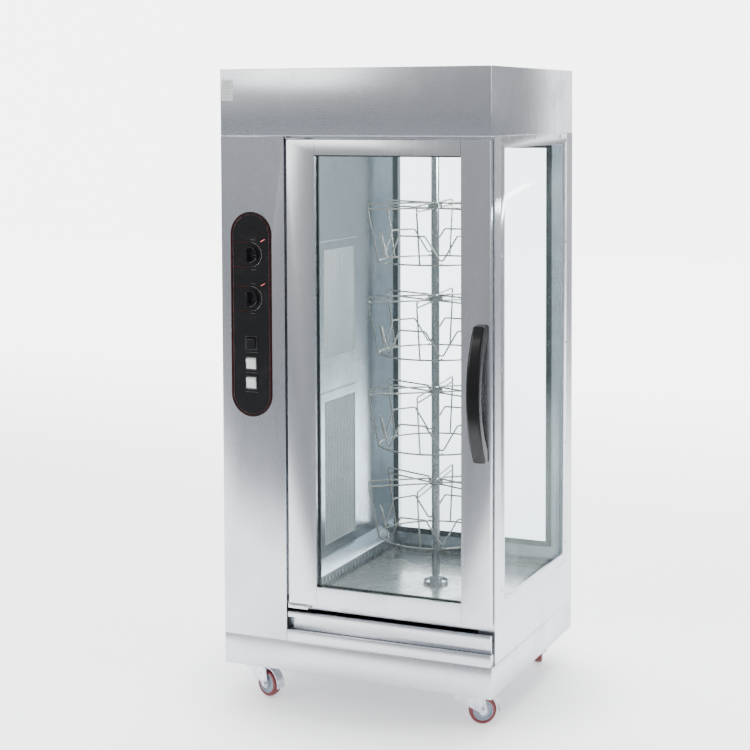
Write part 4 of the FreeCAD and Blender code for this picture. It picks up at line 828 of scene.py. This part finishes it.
def nut(shape, at, across, tall):
    lathe(shape, [(0, tall), (across * 0.42, tall), (across * 0.5, tall * 0.85), (across * 0.5, 0), (0, 0)],
          at, 6)


for corner in ("front_left", "front_right", "rear_left", "rear_right"):
    roll = joints[f"wheel_{corner}_roll"]
    axle, aim = Vector(roll["pos_m"]), Vector(roll["axis"])
    at = facing(axle, aim)
    tread = smooth(place(f"tread_{corner}", wheelTread(wheel, at), f"wheel_{corner}", "red_tread"))
    dress(tread, "tread")
    hub = smooth(place(f"hub_{corner}", wheelHub(wheel, at), f"wheel_{corner}", "red_tread"))
    dress(hub, "hubGrey")
    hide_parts(f"caster_wheel_{corner}")
    softened(f"caster_fork_{corner}", 0.0006)
    nuts = bmesh.new()
    for side in (-1, 1):
        nut(nuts, facing(axle + aim * side * 0.0203, aim * side), 0.013, 0.004)
    bolts = place(f"axle_nuts_{corner}", fromBmesh(nuts), f"caster_{corner}", "zinc_plated")
    dress(bolts, "zinc")
print("casters made")


# ---- studio

def studio():
    def build(graph, place):
        x, y, z = graph.axes(place)
        near = graph.ramp(y, -2.0, -1.0) * graph.ramp(x, 2.2, 1.2)
        spread = graph.sum("POWER", x * x * 1.6 + y * y * 1.8, 0.5)
        # painted shadow: close round the cabinet the floor's glow drops to 0.28 of its strength, standing in for
        # the shadow the cabinet casts
        around = graph.ramp(spread, 0.45, 0.95, 0.28, 1.0)
        floorGlowWithPaintedShadow = (graph.ramp(y, 1.0, 6.0) * 2.2 + 1.7) * around
        cloud = graph.noise(place, 0.7, 2.0)
        pale = graph.blend(cloud * 0.08, colour(0.86, 0.86, 0.865), colour(0.80, 0.80, 0.81))
        # the floor's glow rises towards the back and carries the painted shadow round the cabinet
        return {"Base Color": graph.blend(near, colour(0.22, 0.22, 0.23), pale),
                "Roughness": graph.noise(place, 3.0) * 0.1 + 0.6,
                "Emission Color": graph.blend(near * floorGlowWithPaintedShadow / 4, colour(0, 0, 0), colour(1, 1, 1)),
                "Emission Strength": 4.0}
    floorPaint = material("studioFloor", build)
    floor = bmesh.new()
    slab(floor, (-14, -14, -0.02), (14, 14, 0.0))
    mesh = fromBmesh(floor)
    item = bpy.data.objects.new("StudioFloor", mesh)
    item.data.materials.append(floorPaint)
    bpy.context.scene.collection.objects.link(item)


studio()

world = bpy.data.worlds.new("Studio")
bpy.context.scene.world = world
world.use_nodes = True
world.node_tree.nodes.clear()
sky = Graph(world.node_tree)
direction = sky.make("ShaderNodeTexCoord", output="Generated")
dirX, dirY, dirZ = sky.axes(direction)
behind = sky.ramp(dirY, 0.05, 0.45) * sky.ramp(dirX, 0.3, 0.02)
overhead = sky.ramp(dirZ, 0.15, 0.9)
leftward = sky.ramp(dirX, -0.2, -0.95)
room = overhead * 0.35 + leftward * 0.25 + sky.ramp(dirX, 0.2, 0.9) * 0.15 + 0.52
tint = sky.blend(overhead, colour(0.97, 0.98, 1.0), colour(0.90, 0.95, 1.0))
glow = behind * 5.2 + room
backdrop = sky.make("ShaderNodeBackground", {"Color": tint, "Strength": glow})
sky.make("ShaderNodeOutputWorld", {"Surface": backdrop})

lights = {
    "Key": {"at": (-3.4, -4.2, 4.0), "aim": (0, 0, 0.9), "size": (3.0, 3.0),
            "power": 130, "tone": (1.0, 0.985, 0.96)},
    "Side": {"at": (4.6, 0.6, 2.8), "aim": (0, 0, 0.9), "size": (1.8, 3.0),
             "power": 90, "tone": (0.94, 0.97, 1.0)},
    "Top": {"at": (0.8, 0.4, 4.8), "aim": (0, 0, 0.9), "size": (3.0, 2.4),
            "power": 110, "tone": (1.0, 1.0, 1.0)},
    "Inside": {"at": (0.30, 0.0, 1.50), "aim": (-0.2, 0.05, 0.7), "size": (0.12, 0.5),
               "power": 7, "tone": (0.97, 0.99, 1.0)},
}
for name, made in lights.items():
    lamp = bpy.data.lights.new(name, "AREA")
    lamp.shape = "RECTANGLE"
    lamp.size, lamp.size_y = made["size"]
    lamp.energy = made["power"]
    lamp.color = made["tone"]
    holder = bpy.data.objects.new(name, lamp)
    holder.location = made["at"]
    aim = Vector(made["aim"]) - Vector(made["at"])
    holder.rotation_euler = aim.to_track_quat("-Z", "Y").to_euler()
    bpy.context.scene.collection.objects.link(holder)

view = {"at": (1.911, -4.469, 1.643), "yaw": 23.96, "pitch": -3.29, "roll": -0.23, "lens": 81.5,
        "shift": -0.221}
lens = bpy.data.cameras.new("View")
lens.lens = view["lens"]
lens.sensor_width = 36.0
lens.shift_y = view["shift"]
lens.clip_end = 100.0
camera = bpy.data.objects.new("View", lens)
camera.location = view["at"]
turn = (Matrix.Rotation(math.radians(view["yaw"]), 4, "Z")
        @ Matrix.Rotation(math.radians(90 + view["pitch"]), 4, "X")
        @ Matrix.Rotation(math.radians(view["roll"]), 4, "Z"))
camera.rotation_euler = turn.to_euler()
bpy.context.scene.collection.objects.link(camera)
bpy.context.scene.camera = camera
print("studio lit")
